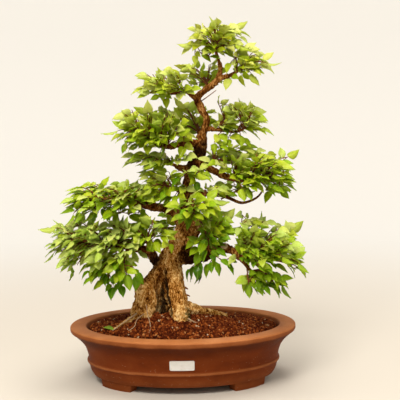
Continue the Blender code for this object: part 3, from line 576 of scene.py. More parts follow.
# the pot, as (inset from the lip's outer edge, height) from the floor's middle
# over the lip and down the outside, and its holes as (x, y, radius)
pot = {
    "halfLength": 180, "halfWidth": 126, "sides": 128, "baseHeight": 12,
    "profile": (
        (47, 20), (45.6, 22.5), (36, 44), (27.5, 82), (25.6, 87.6), (24.6, 89.4), (23.2, 90), (3.0, 90),
        (1.2, 89.6), (0.3, 88.6), (0, 87), (0, 83.6), (0.8, 81.8), (3.2, 80), (9.6, 74.4), (16, 68),
        (19.8, 63), (23, 58), (25.2, 52), (27, 46), (28.2, 39.6), (27.8, 37.9), (26.2, 36.6), (25.7, 34.8),
        (26, 32.9), (27.6, 31.5), (28.9, 30.2), (31, 21), (33.4, 16), (35.6, 12.5), (37, 12), (38, 12),
        (55, 12),
    ),
    "footAngle": 40, "footSpread": 31, "footTaper": 0.93, "footInset": 46,
    "footRim": 38, "footRing": (0.86, 0.995),
    "holes": (
        (-58, 0, 11), (58, 0, 11), (-104, -36, 2.5), (-104, 36, 2.5), (104, -36, 2.5), (104, 36, 2.5),
    ),
    "holeHeight": 16, "holeDepth": 30, "edge": 0.5, "creaseAngle": 35,
}


def makePot():
    halfLength, halfWidth = pot["halfLength"], pot["halfWidth"]
    inset, height = pot["profile"][0]
    bpy.ops.mesh.primitive_circle_add(
        vertices=pot["sides"], radius=1, fill_type="NGON", location=potMiddle + Vector((0, 0, height * mm))
    )
    shell = bpy.context.object
    editAll(shell, "EDGE")
    resize((halfLength - inset) * mm, (halfWidth - inset) * mm, middle=potMiddle)
    for nextInset, nextHeight in pot["profile"][1:]:
        extrudeUp((nextHeight - height) * mm)
        resize((halfLength - nextInset) / (halfLength - inset),
               (halfWidth - nextInset) / (halfWidth - inset), middle=potMiddle)
        inset, height = nextInset, nextHeight
    bpy.ops.mesh.edge_face_add()
    bpy.ops.mesh.select_all(action="SELECT")
    bpy.ops.mesh.normals_make_consistent(inside=False)
    endEdit()
    applyAll(shell)
    editAll(shell)
    for middle in (pot["footAngle"], 180 - pot["footAngle"], 180 + pot["footAngle"], -pot["footAngle"]):
        def underFoot(centre, normal):
            offset = (centre - potMiddle) / mm
            x, y = offset.x / (halfLength - pot["footRim"]), offset.y / (halfWidth - pot["footRim"])
            away = abs((math.degrees(math.atan2(y, x)) - middle + 180) % 360 - 180)
            low, high = pot["footRing"]
            return (abs(centre.z - pot["baseHeight"] * mm) < 0.2 * mm and normal.z < -0.9
                    and away < pot["footSpread"] / 2 and low < math.hypot(x, y) < high)

        selectFaces(shell, underFoot)
        extrudeUp(-pot["baseHeight"] * mm)
        foot = potMiddle + Vector((
            (halfLength - pot["footInset"]) * math.cos(math.radians(middle)) * mm,
            (halfWidth - pot["footInset"]) * math.sin(math.radians(middle)) * mm, 0,
        ))
        resize(pot["footTaper"], pot["footTaper"], middle=foot)
    endEdit()
    for x, y, radius in pot["holes"]:
        bpy.ops.mesh.primitive_cylinder_add(
            vertices=32, radius=radius * mm, depth=pot["holeDepth"] * mm,
            location=toRow @ Vector((x, y, pot["holeHeight"])),
        )
        cutter = bpy.context.object
        hole = shell.modifiers.new("hole", "BOOLEAN")
        hole.operation, hole.object, hole.solver = "DIFFERENCE", cutter, "EXACT"
        applyAll(shell)
        bpy.data.objects.remove(cutter)
    edges = shell.modifiers.new("edges", "BEVEL")
    edges.width, edges.segments = pot["edge"] * mm, 2
    edges.limit_method, edges.angle_limit = "ANGLE", math.radians(50)
    applyAll(shell)
    shell.data.materials.append(finishes["clay"])
    bpy.ops.object.shade_smooth_by_angle(angle=math.radians(pot["creaseAngle"]))
    finishPiece(shell, "clayPot", "fired_clay", "pot")


makePot()
print("pot made")


# the blank label, which follows the front wall
label = {
    "halfLength": 18.5, "halfHeight": 8.0, "middleHeight": 49.5, "corner": 2.2,
    "gap": 0.4, "thickness": 0.35, "creaseAngle": 35, "wallFrom": 10,
}


def wallInset(z):
    # how far the outside is set in at a height, from the lip's edge down
    wall = pot["profile"][label["wallFrom"]:]
    for (inset, high), (lowerInset, low) in zip(wall, wall[1:]):
        if low <= z <= high and high > low:
            return lowerInset + (inset - lowerInset) * (z - low) / (high - low)
    raise ValueError("no wall at this height")


def makeLabel():
    halfLength, halfHeight = label["halfLength"], label["halfHeight"]
    bpy.ops.mesh.primitive_grid_add(x_subdivisions=36, y_subdivisions=16, size=2)
    sheet = bpy.context.object
    for vertex in sheet.data.vertices:
        x, z = vertex.co.x * halfLength, vertex.co.y * halfHeight
        beyond = (abs(x) - halfLength + label["corner"], abs(z) - halfHeight + label["corner"])
        if min(beyond) > 0:
            squeeze = 1 - max(beyond) / math.hypot(*beyond)
            x -= math.copysign(beyond[0] * squeeze, x)
            z -= math.copysign(beyond[1] * squeeze, z)
        z += label["middleHeight"]
        inset = wallInset(z)
        share = x / (pot["halfLength"] - inset)
        y = -(pot["halfWidth"] - inset) * math.sqrt(1 - share * share) - label["gap"]
        vertex.co = toRow @ Vector((x, y, z))
    paper = sheet.modifiers.new("paper", "SOLIDIFY")
    paper.thickness, paper.offset = label["thickness"] * mm, 1
    applyAll(sheet)
    sheet.data.materials.append(finishes["paper"])
    bpy.ops.object.shade_smooth_by_angle(angle=math.radians(label["creaseAngle"]))
    finishPiece(sheet, "blankLabel", "label_paper", "label")


makeLabel()
print("label made")


# the wood, as routes of (x, y, z, radius)
trunkRoute = (
    (-22, 0, 184, 18), (-14, -2, 205, 17), (-3, -5, 219, 18), (10, -8, 238, 20), (12, -6, 256, 19),
    (11, -5, 270, 16), (8, -1, 290, 11), (9, 0, 303, 9.5), (13, 3, 322, 9.5), (19, 5, 338, 11),
    (27, 5, 354, 11.5), (31, 5, 368, 11), (35, 2, 382, 8), (37, 0, 394, 6.6), (42, -5, 414, 5.6),
    (34, -8, 430, 6), (28, -10, 442, 6), (30, -11, 450, 6), (38, -12, 457, 5.6), (50, -14, 465, 5.4),
    (60, -16, 475, 5), (64, -18, 490, 4), (62, -19, 502, 3.4), (58, -20, 513, 3),
)
rootRoutes = {
    "left leg": (
        (-62, -12, 92, 22), (-61, -10, 112, 21), (-59, -8, 126, 20), (-57, -4, 144, 17.5),
        (-46, 0, 163, 12.5), (-32, 0, 184, 12), (-20, 0, 202, 13),
    ),
    "right leg": (
        (1, -35, 92, 15), (-3, -30, 108, 16), (-7, -22, 124, 17), (-13, -14, 148, 18), (-16, -5, 174, 17),
        (-14, 0, 198, 15),
    ),
    "back leg": ((-30, 28, 92, 21), (-30, 20, 112, 20), (-27, 10, 150, 17), (-20, 2, 188, 15)),
    "middle toe": ((-32, -16, 92, 10), (-31, -8, 112, 9), (-28, 2, 134, 8)),
    "right root": (
        (-2, -12, 118, 15), (14, -6, 113, 10), (32, 0, 108, 7.5), (52, 5, 103, 6), (68, 8, 98, 4),
        (82, 9, 92, 2.6),
    ),
    "left root": ((-66, -14, 112, 9), (-78, -26, 104, 5.5), (-92, -38, 99, 4), (-106, -50, 93, 2.6)),
    "rear root": ((-34, 30, 104, 12), (-48, 48, 98, 7), (-60, 60, 91, 4)),
    "rear right root": ((-14, 26, 104, 10), (8, 42, 98, 6), (26, 52, 91, 3.6)),
}
limbRoutes = {
    "left_low": (
        (-24, 6, 178, 12), (-42, 10, 187, 9.5), (-52, 6, 203, 8), (-81, -14, 216, 6.5),
        (-96, -24, 218, 5.4),
    ),
    "left_hang": ((-78, -12, 215, 5.5), (-84, -34, 212, 3.6)),
    "left_inner": ((-52, 4, 204, 6), (-52, -18, 218, 3.8)),
    "left_up": ((2, -5, 258, 13), (-15, -6, 272, 9), (-49, -10, 279, 7), (-75, -15, 286, 5.4)),
    "centre_left": ((8, -2, 296, 7), (-6, -10, 304, 3.6)),
    "mid_left_low": ((17, 4, 335, 9), (3, 2, 337, 5), (-8, -4, 342, 3.4)),
    "mid_left": ((27, 0, 376, 8), (6, -8, 376, 5.8), (-16, -15, 372, 5)),
    "top_left": ((28, -10, 444, 5), (13, -15, 456, 3.6)),
    "apex": ((62, -19, 502, 3.2), (58, -20, 513, 3)),
    "apex_right": ((61, -16, 476, 4.8), (76, -20, 479, 3.8)),
    "right_small": ((38, 0, 398, 5), (55, -4, 398, 3.8)),
    "right_mid": ((22, 5, 342, 9), (43, -5, 338, 7), (62, -12, 328, 6.2), (78, -17, 322, 5.4)),
    "right_twig": ((12, 4, 299, 7), (40, 9, 296, 4.2)),
    "right_low": (
        (2, 4, 196, 15), (24, 0, 198, 13), (47, -15, 205, 10), (70, -32, 213, 8), (92, -43, 204, 6),
    ),
    "pruned stub": ((70, -30, 213, 7), (66, -45, 220, 6)),
    "right_hang": ((84, -38, 207, 5.5), (96, -52, 194, 3.6)),
    "right_inner": ((40, -10, 204, 8), (40, -30, 214, 3.8)),
    "front_mid": ((10, -14, 260, 8), (8, -36, 270, 3.8)),
    "front_high": ((13, 0, 320, 7), (10, -18, 326, 3.4)),
    "back_low": ((-2, 4, 212, 13), (8, 34, 222, 8), (14, 58, 228, 5.4)),
    "back_left": ((4, 2, 262, 11), (-24, 26, 270, 6.5), (-38, 38, 274, 5)),
    "back_right": ((24, 6, 346, 9), (46, 24, 346, 5)),
    "back_mid": ((32, 5, 372, 8), (30, 26, 388, 4.4)),
    "back_top": ((38, -12, 458, 5), (42, 0, 464, 3.6)),
}
wood = {
    "routeSteps": 4, "voxel": 1.15, "faces": 130000,
    "lump": 3.0, "lumpSize": 11.0, "lumpFullBelow": 280.0, "lumpNoneAbove": 380.0, "lumpLeast": 0.15,
    "foldDepth": 1.7, "plateDepth": 1.3, "flakeDepth": 1.1, "grainDepth": 0.5, "squash": 0.55,
    "youngFrom": 235.0, "youngTo": 300.0, "youngLeast": 0.7, "darkAbove": 160,
    "cleft": ((-30.0, 92.0), (-27.0, 182.0)), "cleftWidth": 14.0, "cleftDepth": 5.5,
    "shaded": (  # forks painted near black as shade: place and reach
        ((14, -14, 196), 26), ((31, -14, 192), 23), ((6, -20, 213), 11), ((48, -24, 198), 16),
        ((-46, -2, 191), 18), ((31, -4, 361), 18), ((17, 0, 343), 13), ((36, -2, 376), 9),
    ),
    "moss": (12, -36, 109), "mossReach": 17,
    "stubEnd": (66, -45, 220), "stubFace": (-0.24, -0.91, 0.33), "stubReach": 7.5,
}
oldWood = (trunkRoute, rootRoutes["left leg"], rootRoutes["right leg"], rootRoutes["back leg"])


def awayFromRoute(place, route):
    # distance from a route's middle line, less its radius, over the radius
    best = 9.0
    for a, b in zip(route, route[1:]):
        start, end = Vector(a[:3]), Vector(b[:3])
        share = clamp(intersect_point_line(place, start, end)[1])
        radius = a[3] + (b[3] - a[3]) * share
        best = min(best, ((place - start.lerp(end, share)).length - radius) / radius)
    return best


def cleftShare(place, normal):
    # 1 in the middle of the cleft between the two front legs, 0 beside it
    low, high = wood["cleft"]
    share = (place.z - low[1]) / (high[1] - low[1])
    if not -0.1 < share < 1.0 or normal.y > 0.25:
        return 0.0
    middle = low[0] + (high[0] - low[0]) * share + 1.5 * noise.noise(place / 9)
    width = wood["cleftWidth"] * (1.25 - 1.2 * max(0.0, share))
    return clamp(2 - 2 * (abs(place.x - middle) / width) ** 2)


def shadedShare(place):
    # how much painted shade a place gets round the shaded forks
    rough = 0.5 * noise.noise(place / 5)
    return max(clamp(1.6 - 1.6 * (place - Vector(spot)).length / reach + rough)
               for spot, reach in wood["shaded"])


def darkShare(place):
    # the upper trunk and the limbs have darker bark than the old trunk
    if place.z < wood["darkAbove"]:
        return 0.0
    up = 0.9 * clamp((place.z - wood["youngFrom"]) / (wood["youngTo"] - wood["youngFrom"]))
    away = min(awayFromRoute(place, route) for route in oldWood)
    return max(up, clamp((away - 0.12) / 0.35))


def makeWood():
    routes = [trunkRoute, *rootRoutes.values(), *limbRoutes.values()]
    body = strands("wood", [smoothRoute(route, wood["routeSteps"]) for route in routes], finishes["bark"], 2)
    melt = body.modifiers.new("melt", "REMESH")
    melt.mode, melt.voxel_size = "VOXEL", wood["voxel"] * mm
    applyAll(body)

    # the same lumps as the CAD wood has
    group = body.vertex_groups.new(name="old wood")
    top, bottom = wood["lumpNoneAbove"], wood["lumpFullBelow"]
    for vertex in body.data.vertices:
        share = (top - vertex.co.z / mm) / (top - bottom)
        group.add([vertex.index], clamp(share, wood["lumpLeast"]), "REPLACE")
    bpy.ops.object.empty_add(location=potMiddle)
    middle = bpy.context.object
    lumps = bpy.data.textures.new("bark lumps", "CLOUDS")
    lumps.noise_scale = wood["lumpSize"] * mm
    swell = body.modifiers.new("lumps", "DISPLACE")
    swell.texture, swell.texture_coords, swell.texture_coords_object = lumps, "OBJECT", middle
    swell.strength, swell.mid_level, swell.vertex_group = wood["lump"] * mm, 0.5, group.name
    applyAll(body)
    bpy.data.objects.remove(middle)

    # finer folds, plates, flakes and grain, and what the bark's colour follows
    mesh = body.data
    count = len(mesh.vertices)
    shares = {name: np.zeros(count) for name in ("relief", "moss", "young", "cleft", "cut")}
    stubEnd, stubFace, mossPlace = (Vector(wood[key]) for key in ("stubEnd", "stubFace", "moss"))
    moved = np.zeros((count, 3))
    for i, vertex in enumerate(mesh.vertices):
        place = (vertex.co - potMiddle) / mm
        old = clamp((wood["youngTo"] - place.z) / (wood["youngTo"] - wood["youngFrom"]), wood["youngLeast"])
        tall = Vector((place.x, place.y, place.z * wood["squash"]))
        cracks = max(0.0, 1 - abs(noise.noise(tall / 5.5)) * 3.2)
        height = old * (
            wood["foldDepth"] * noise.noise(tall / 15.0) * 1.6 - wood["plateDepth"] * cracks
            + wood["flakeDepth"] * noise.noise(tall / 2.7)
        ) + wood["grainDepth"] * noise.noise(place / 1.5)
        hollow = cleftShare(place, vertex.normal)
        cut = (place - stubEnd).length < wood["stubReach"] and vertex.normal.dot(stubFace) > 0.6
        if cut:
            height = 0.1 * noise.noise(place / 2.0)
        moved[i] = vertex.co + vertex.normal * (height - wood["cleftDepth"] * hollow) * mm
        nearFoot = max(0.0, 1 - (place - mossPlace).length / wood["mossReach"])
        shares["relief"][i] = clamp(0.58 + height * 0.16)
        shares["moss"][i] = min(1.0, nearFoot * 2.6 * (0.6 + noise.noise(place / 5)))
        shares["young"][i] = darkShare(place)
        # cleft holds painted shade, from the cleft between the front legs and the shaded forks
        shares["cleft"][i] = max(hollow, shadedShare(place))
        shares["cut"][i] = cut
    mesh.vertices.foreach_set("co", moved.ravel())
    for name, values in shares.items():
        giveAttribute(mesh, name, values)
    mesh.calc_loop_triangles()
    fewer = body.modifiers.new("fewer faces", "DECIMATE")
    fewer.ratio = min(1.0, wood["faces"] / len(mesh.loop_triangles))
    applyAll(body)
    body.data.shade_smooth()
    return finishPiece(body, "barkedWood", "bark", "trunk")


barkedWood = makeWood()
woodTree = treeOf(barkedWood.data)
print("wood made", len(barkedWood.data.polygons))


def inWood(spot):
    # a line up from a place in the wood leaves it through a face that looks up
    hit, normal = woodTree.ray_cast(spot, Vector((0, 0, 1)))[:2]
    return hit is not None and normal.z > 0


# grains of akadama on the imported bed
grit = {
    "kinds": 7, "spacing": 3.2, "rowShare": 0.87, "jitter": 0.8, "sizes": (1.35, 2.45), "bigger": 1.25,
    "rim": 29.5, "sink": 0.25, "lowest": 75, "rough": 0.22, "squash": (1.15, 0.95, 0.85),
}


def makeGrains():
    masters = []
    for kind in range(grit["kinds"]):
        bpy.ops.mesh.primitive_ico_sphere_add(subdivisions=1, radius=1)
        masters.append(bpy.context.object)
        editAll(masters[-1])
        bpy.ops.transform.vertex_random(offset=grit["rough"], seed=kind + 1)
        resize(*grit["squash"])
        endEdit()
    bed = treeOf(frame["nodes"]["soil"].data)
    draw = random.Random(5)
    placed = []
    spacing, share, jitter = grit["spacing"], grit["rowShare"], grit["jitter"]
    longest, widest = pot["halfLength"] - grit["rim"], pot["halfWidth"] - grit["rim"]
    for row in range(int(2 * widest / (spacing * share)) + 1):
        for column in range(int(2 * longest / spacing) + 1):
            x = -longest + (column + row % 2 / 2) * spacing + draw.uniform(-jitter, jitter)
            y = -widest + row * spacing * share + draw.uniform(-jitter, jitter)
            size = draw.uniform(*grit["sizes"]) * (grit["bigger"] if draw.random() > 0.9 else 1)
            turn = [draw.uniform(0, math.tau) for _ in range(3)]
            shade, kind = draw.random(), draw.randrange(grit["kinds"])
            if math.hypot(x / (longest - size), y / (widest - size)) > 1:
                continue
            hit = bed.ray_cast(toRow @ Vector((x, y, 300)), Vector((0, 0, -1)))[0]
            if hit is None or hit.z < grit["lowest"] * mm:
                continue
            spot = toRow.inverted() @ hit + Vector((0, 0, size * grit["sink"]))
            if inWood(toRow @ spot):
                continue
            matrix = Matrix.Translation(spot)
            for angle, axis in zip(turn, "XYZ"):
                matrix = matrix @ Matrix.Rotation(angle, 4, axis)
            placed.append((kind, matrix @ Matrix.Scale(size, 4), {"shade": shade}))
    grains = scatter("akadamaGrains", masters, placed, finishes["grain"])
    for master in masters:
        bpy.data.objects.remove(master)
    print("grains made", len(placed))
    finishPiece(grains, "akadamaGrains", "akadama_grit")


makeGrains()


# thin strands outside the sprays: steps between points, finish, and routes
thinStrands = {
    "bareTwigs": (4, "twig", (
        ((31, -4, 441, 1.2), (40, -10, 446, 0.8), (57, -16, 458, 0.6)),
        ((63, -2, 288, 1.5), (76, -3, 294, 1.2), (85, -6, 299, 1.0), (95, -8, 305, 0.7)),
        ((1, -14, 151, 1.8), (6, -15, 149, 1.5), (9, -16, 147, 0.9)),
        ((2, -16, 138, 1.8), (8, -17, 138, 1.4), (12, -17, 136, 0.9)),
        ((112, -46, 206, 1.6), (124, -50, 196, 1.1), (136, -52, 190, 0.7)),
    )),
    "thinRoots": (5, "rootlet", (
        (
            (-56, -32, 126, 0.8), (-54, -40, 114, 0.7), (-50, -52, 105, 0.7), (-48, -66, 98, 0.6),
            (-50, -78, 93, 0.5),
        ),
        ((-72, -27, 112, 1.3), (-83, -38, 106, 1.2), (-95, -50, 100, 0.9), (-106, -62, 94, 0.6)),
        ((-60, -30, 112, 0.8), (-70, -42, 106, 0.7), (-73, -58, 99, 0.6), (-82, -66, 94, 0.5)),
        ((6, -40, 108, 1.3), (18, -46, 102, 1.0), (32, -48, 98, 0.8), (44, -58, 93, 0.5)),
    )),
}
for name, (steps, finish, routes) in thinStrands.items():
    thin = strands(name, [smoothRoute(route, steps) for route in routes], finishes[finish], 1)
    finishPiece(thin, name, "bark")


# one leaf, a unit long, in a few bends; its outline is (along, half width)
leaf = {
    "outline": (
        (0, 0.02), (0.04, 0.12), (0.12, 0.215), (0.24, 0.278), (0.38, 0.292), (0.53, 0.265), (0.67, 0.203),
        (0.8, 0.122), (0.91, 0.048), (1, 0.0),
    ),
    "thickness": 0.014,
    "bends": (  # fold up beside the midrib, droop of the tip, twist, wave of the edges
        (0.36, 0.08, 0.0, 0.01), (0.44, 0.20, 0.15, 0.02), (0.28, 0.14, -0.2, 0.03),
        (0.50, 0.28, -0.1, 0.02), (0.34, 0.04, 0.25, 0.025), (0.22, 0.24, 0.1, 0.035),
    ),
    "stalk": 3.5, "stalkRadius": 0.42,
}


def makeLeafKind(fold, droop, twist, wave):
    outline = leaf["outline"]
    rows = len(outline) - 1
    bpy.ops.mesh.primitive_grid_add(x_subdivisions=rows, y_subdivisions=2, size=1)
    blade = bpy.context.object
    mesh = blade.data
    places = []
    for vertex in mesh.vertices:
        step, side = round((vertex.co.x + 0.5) * rows), round(vertex.co.y * 2)
        along, half = outline[step]
        out, turn = side * half, twist * along
        rise = fold * abs(out) - droop * along**2 + side * wave * math.sin(step * 2.6)
        places.append((along, out + 0.5))
        vertex.co = (
            along - droop * droop * along**3 * 0.6, out * math.cos(turn) - rise * math.sin(turn) * 0.2,
            rise + out * math.sin(turn),
        )
    for loop in mesh.loops:
        mesh.uv_layers[0].uv[loop.index].vector = places[loop.vertex_index]
    editAll(blade)
    bpy.ops.mesh.remove_doubles(threshold=0.001)
    endEdit()
    count = len(mesh.vertices)
    thick = blade.modifiers.new("thickness", "SOLIDIFY")
    thick.thickness, thick.offset = leaf["thickness"], -1
    applyAll(blade)
    mesh = blade.data
    mesh.shade_smooth()
    giveAttribute(mesh, "under", [float(i >= count) for i in range(len(mesh.vertices))])
    return blade


leafKinds = [makeLeafKind(*bend) for bend in leaf["bends"]]
print("leaf kinds made", len(leafKinds[0].data.polygons))


# leafy sprays: each continues its limb along its stem and fills an oval pad with shoots; shoots says how many
# the CAD has, light is painted light that pales the leaves, and hang lowers the leaves and darkens them with
# painted shade
padKeys = ("stem", "centre", "half", "shoots", "light", "hang")
padRows = {
    "left_low": (
        ((-112, -33, 221), (-134, -42, 225), (-162, -48, 228), (-184, -48, 226)),
        (-129, -40, 224), (75, 60, 38), 10, 0.24, 0,
    ),
    "left_hang": (((-92, -48, 204), (-104, -62, 194)), (-112, -62, 186), (38, 26, 20), 3, 0, 0.5),
    "left_inner": (((-54, -34, 228), (-58, -52, 234)), (-58, -38, 238), (30, 28, 22), 4, 0, 0.3),
    "left_up": (
        ((-98, -20, 288), (-124, -24, 290), (-152, -25, 292), (-168, -24, 292)),
        (-110, -20, 289), (69, 56, 27), 9, 0, 0,
    ),
    "centre_left": (((-20, -18, 310), (-38, -26, 315)), (-32, -20, 316), (24, 26, 20), 3, 0, 0),
    "mid_left_low": (((-26, -12, 349), (-50, -18, 352)), (-48, -14, 352), (34, 28, 10), 3, 0, 0),
    "mid_left": (
        ((-32, -20, 374), (-46, -25, 383), (-62, -29, 392), (-80, -30, 399)),
        (-42, -22, 400), (52, 48, 32), 8, 0, 0,
    ),
    "top_left": (
        ((-4, -18, 454), (-26, -20, 455), (-44, -20, 462)),
        (-24, -18, 469), (34, 34, 18), 5, 0.09, 0,
    ),
    "apex": (((56, -21, 528), (58, -22, 545)), (56, -20, 535), (36, 32, 24), 7, 0.09, 0),
    "apex_right": (
        ((88, -24, 485), (100, -28, 494), (114, -30, 503)),
        (106, -28, 498), (28, 28, 20), 4, 0.09, 0,
    ),
    "right_small": (
        ((70, -8, 396), (88, -12, 394), (102, -15, 401), (108, -17, 416)),
        (94, -12, 414), (34, 32, 24), 6, 0.14, 0,
    ),
    "right_mid": (
        ((94, -21, 319), (114, -24, 320), (136, -27, 318), (156, -28, 322)),
        (121, -22, 328), (52, 50, 32), 8, -0.05, 0,
    ),
    "right_twig": (
        ((64, 10, 293), (78, 8, 288), (97, 5, 281), (119, 0, 289), (130, -3, 302)),
        (66, 6, 301), (32, 24, 9), 3, 0, 0.2,
    ),
    "right_low": (
        ((106, -49, 200), (126, -54, 200), (148, -57, 198), (168, -58, 192)),
        (131, -48, 218), (50, 54, 36), 9, 0.05, 0,
    ),
    "right_hang": (((106, -60, 183), (118, -64, 176)), (126, -62, 169), (30, 24, 16), 3, 0, 0.6),
    "right_inner": (((42, -44, 226), (48, -54, 240)), (48, -40, 244), (28, 22, 22), 4, 0, 0.6),
    "front_mid": (((14, -56, 276), (30, -72, 280)), (26, -62, 279), (30, 24, 15), 5, 0, 0.3),
    "front_high": (((8, -36, 331), (12, -50, 333)), (10, -42, 332), (20, 16, 6), 2, 0, 0),
    "back_low": (((16, 80, 233), (12, 102, 238)), (14, 84, 244), (60, 40, 22), 4, 0, 0),
    "back_left": (((-60, 54, 281), (-88, 66, 286)), (-74, 58, 292), (50, 38, 18), 4, 0, 0),
    "back_right": (((66, 40, 347), (98, 58, 350)), (80, 50, 353), (44, 36, 20), 3, 0, 0),
    "back_mid": (((26, 48, 404), (18, 66, 414)), (22, 54, 416), (38, 34, 22), 3, 0, 0),
    "back_top": (((45, 16, 473), (44, 32, 481)), (40, 24, 486), (30, 26, 18), 3, 0, 0),
}
sprayPads = {name: dict(zip(padKeys, row)) for name, row in padRows.items()}

# twigs that only the scene has, by where they end and, for some, how much they hang
tufts = {
    "apex": (
        (16, -20, 524), (24, -22, 508), (36, -20, 510), (41, -18, 552), (61, -20, 553), (78, -20, 551),
        (50, -26, 507), (71, -22, 513), (94, -22, 534), (94, -16, 545), (28, -14, 536), (60, -34, 520),
    ),
    "apex_right": (
        (88, -30, 512), (106, -30, 522), (118, -28, 514), (92, -32, 478), (73, -30, 473), (128, -28, 489),
        (75, -30, 497), (104, -40, 500), (116, -34, 484), (84, -20, 524),
    ),
    "top_left": (
        (-59, -18, 463), (-51, -22, 453), (-37, -24, 447), (-22, -24, 453), (-17, -26, 444), (3, -26, 453),
        (-4, -16, 486), (20, -20, 462), (12, -12, 476), (-30, -14, 478),
    ),
    "mid_left": (
        (-78, -22, 422), (-64, -24, 422), (-92, -24, 388), (-79, -26, 374), (-66, -30, 376),
        (-46, -32, 372), (-23, -30, 371), (-16, -18, 432), (13, -20, 394), (-4, -28, 402), (-30, -36, 390),
        (6, -26, 366),
    ),
    "mid_left_low": (
        (-11, -20, 351), (-43, -18, 341), (-66, -18, 352), (-31, -20, 355), (-22, -20, 358),
        (-30, -22, 342), (8, -24, 354), (15, -26, 362), (-73, -18, 363),
    ),
    "left_up": (
        (-135, -20, 309), (-128, -26, 266), (-96, -30, 264), (-75, -30, 268), (-60, -28, 271),
        (-88, -18, 312), (-71, -16, 312), (-110, -28, 272), (-152, -20, 302), (-48, -26, 288),
    ),
    "left_low": (
        (-107, -42, 256), (-117, -36, 250), (-190, -42, 214), (-163, -46, 186), (-142, -50, 207),
        (-173, -40, 250), (-184, -40, 226), (-90, -40, 254), (-128, -58, 240),
    ),
    "left_hang": ((-67, -60, 190), (-66, -62, 176), (-101, -62, 157), (-112, -58, 166), (-88, -62, 164)),
    "left_inner": ((-40, -42, 266), (-30, -48, 250), (-38, -54, 228), (-24, -54, 240), (-14, -52, 222)),
    "centre_left": (
        (15, -26, 311), (25, -26, 306), (-4, -34, 310), (-5, -40, 294), (-10, -36, 283), (-17, -20, 275),
        (-22, -24, 293), (-12, -30, 292), (-20, -34, 300), (-18, -22, 333), (-2, -26, 318),
        (-38, -28, 301),
    ),
    "front_high": (
        (4, -36, 329), (23, -42, 329), (41, -40, 328), (24, -42, 316), (38, -42, 328), (-2, -42, 324),
        (16, -52, 340),
    ),
    "front_mid": (
        (2, -58, 275, 2.5), (14, -62, 271, 2.5), (28, -60, 275, 2.5), (12, -60, 294), (25, -64, 297),
        (39, -66, 295), (51, -68, 286), (34, -66, 283), (39, -34, 314), (44, -34, 303), (64, -30, 312),
        (28, -64, 296), (8, -64, 292), (48, -62, 272), (1, -60, 268), (14, -64, 262), (30, -60, 268),
        (44, -74, 290), (-8, -56, 282),
    ),
    "right_twig": ((38, -4, 312), (52, 0, 312), (66, 2, 310), (88, -2, 306)),
    "right_mid": (
        (65, -24, 340), (119, -22, 366), (133, -22, 356), (150, -22, 349), (163, -22, 340),
        (165, -24, 308), (153, -28, 299), (136, -30, 302), (176, -22, 318), (52, -26, 352), (40, -28, 346),
    ),
    "right_small": (
        (56, -12, 448), (68, -12, 436), (83, -12, 436), (56, -20, 388), (72, -22, 381), (86, -20, 388),
        (108, -20, 392), (129, -16, 396), (124, -14, 412), (50, -22, 374), (62, -26, 368), (96, -22, 380),
    ),
    "right_low": (
        (91, -30, 271), (133, -44, 257), (155, -46, 251), (159, -46, 235), (178, -50, 212),
        (185, -54, 180), (92, -48, 252), (97, -46, 262), (112, -48, 258), (150, -48, 247), (145, -56, 190),
        (164, -56, 184), (180, -54, 181), (76, -56, 202), (134, -44, 258), (176, -46, 212),
        (104, -66, 214), (182, -50, 192), (86, -52, 246), (186, -54, 186),
    ),
    "right_hang": (
        (98, -62, 185, 1.2), (96, -64, 171, 1.2), (113, -64, 180, 1.2), (113, -64, 160, 1.2),
        (128, -64, 166, 1.2), (140, -62, 162, 1.2), (127, -60, 184, 1.2), (136, -64, 160), (152, -62, 174),
        (112, -66, 166),
    ),
    "right_inner": (
        (23, -47, 218), (35, -50, 213), (46, -54, 205), (29, -48, 202), (52, -58, 195), (63, -60, 200),
        (72, -60, 190), (40, -52, 193), (25, -46, 186), (34, -50, 226), (60, -54, 214), (82, -58, 206),
        (10, -30, 182, 1.5), (17, -28, 178, 1.5), (25, -28, 176, 2.0), (27, -30, 186, 1.5), (54, -50, 228),
        (18, -50, 230), (26, -52, 228),
    ),
}

shoot = {
    "steps": 3, "stemEnd": 1.3, "radius": (1.0, 0.5), "leafLength": 29.0, "leafMiddle": 0.55,
    # as the CAD has them
    "rootHalf": 1.2, "tipHalf": 0.8, "bareLength": 7.0, "leafSpacing": 11.0, "mostLeaves": 6,
    "slants": (24, 40), "droops": (-55, 5), "sizes": (0.8, 1.05), "leans": (0.3, 1.0), "weights": (1.0, 2.2),
    "widest": (0.42, 0.29), "fold": 0.25, "match": 0.8, "packedTries": 6,
    # only in the scene
    "extraSpacing": 9.0, "mostExtra": 8, "extraSlants": (30, 60), "extraDroops": (-45, 10),
    "extraSizes": (0.60, 1.0), "extraLeans": (0.3, 1.1), "extraWeights": (0.45, 2.4),
    "extraFalls": (-0.05, 0.32), "extraOut": 0.5, "extraReach": (0.86, 1.05), "extraTries": 10,
    "clear": (8.4, 4.2), "woodClear": 2.0, "beyondBox": 1.0, "beyondPad": (13, 14, 12), "lowest": 0.097,
    "bladeShare": 0.94, "tuftBack": 20, "nearPad": 45,
}
trunkAxis = (16.0, 6.0)


def alongRoute(route, distance):
    # the place at a distance along a route, and the way the route goes there
    for a, b in zip(route, route[1:]):
        length = (b - a).length
        if distance <= length:
            break
        distance -= length
    else:
        distance = length
    ahead = (b - a).normalized()
    return a + ahead * distance, ahead


def routeLength(route):
    return sum((b - a).length for a, b in zip(route, route[1:]))


def tapered(points, first, last):
    # the points with radii that go evenly from first to last
    return [(*point, first + (last - first) * i / (len(points) - 1)) for i, point in enumerate(points)]


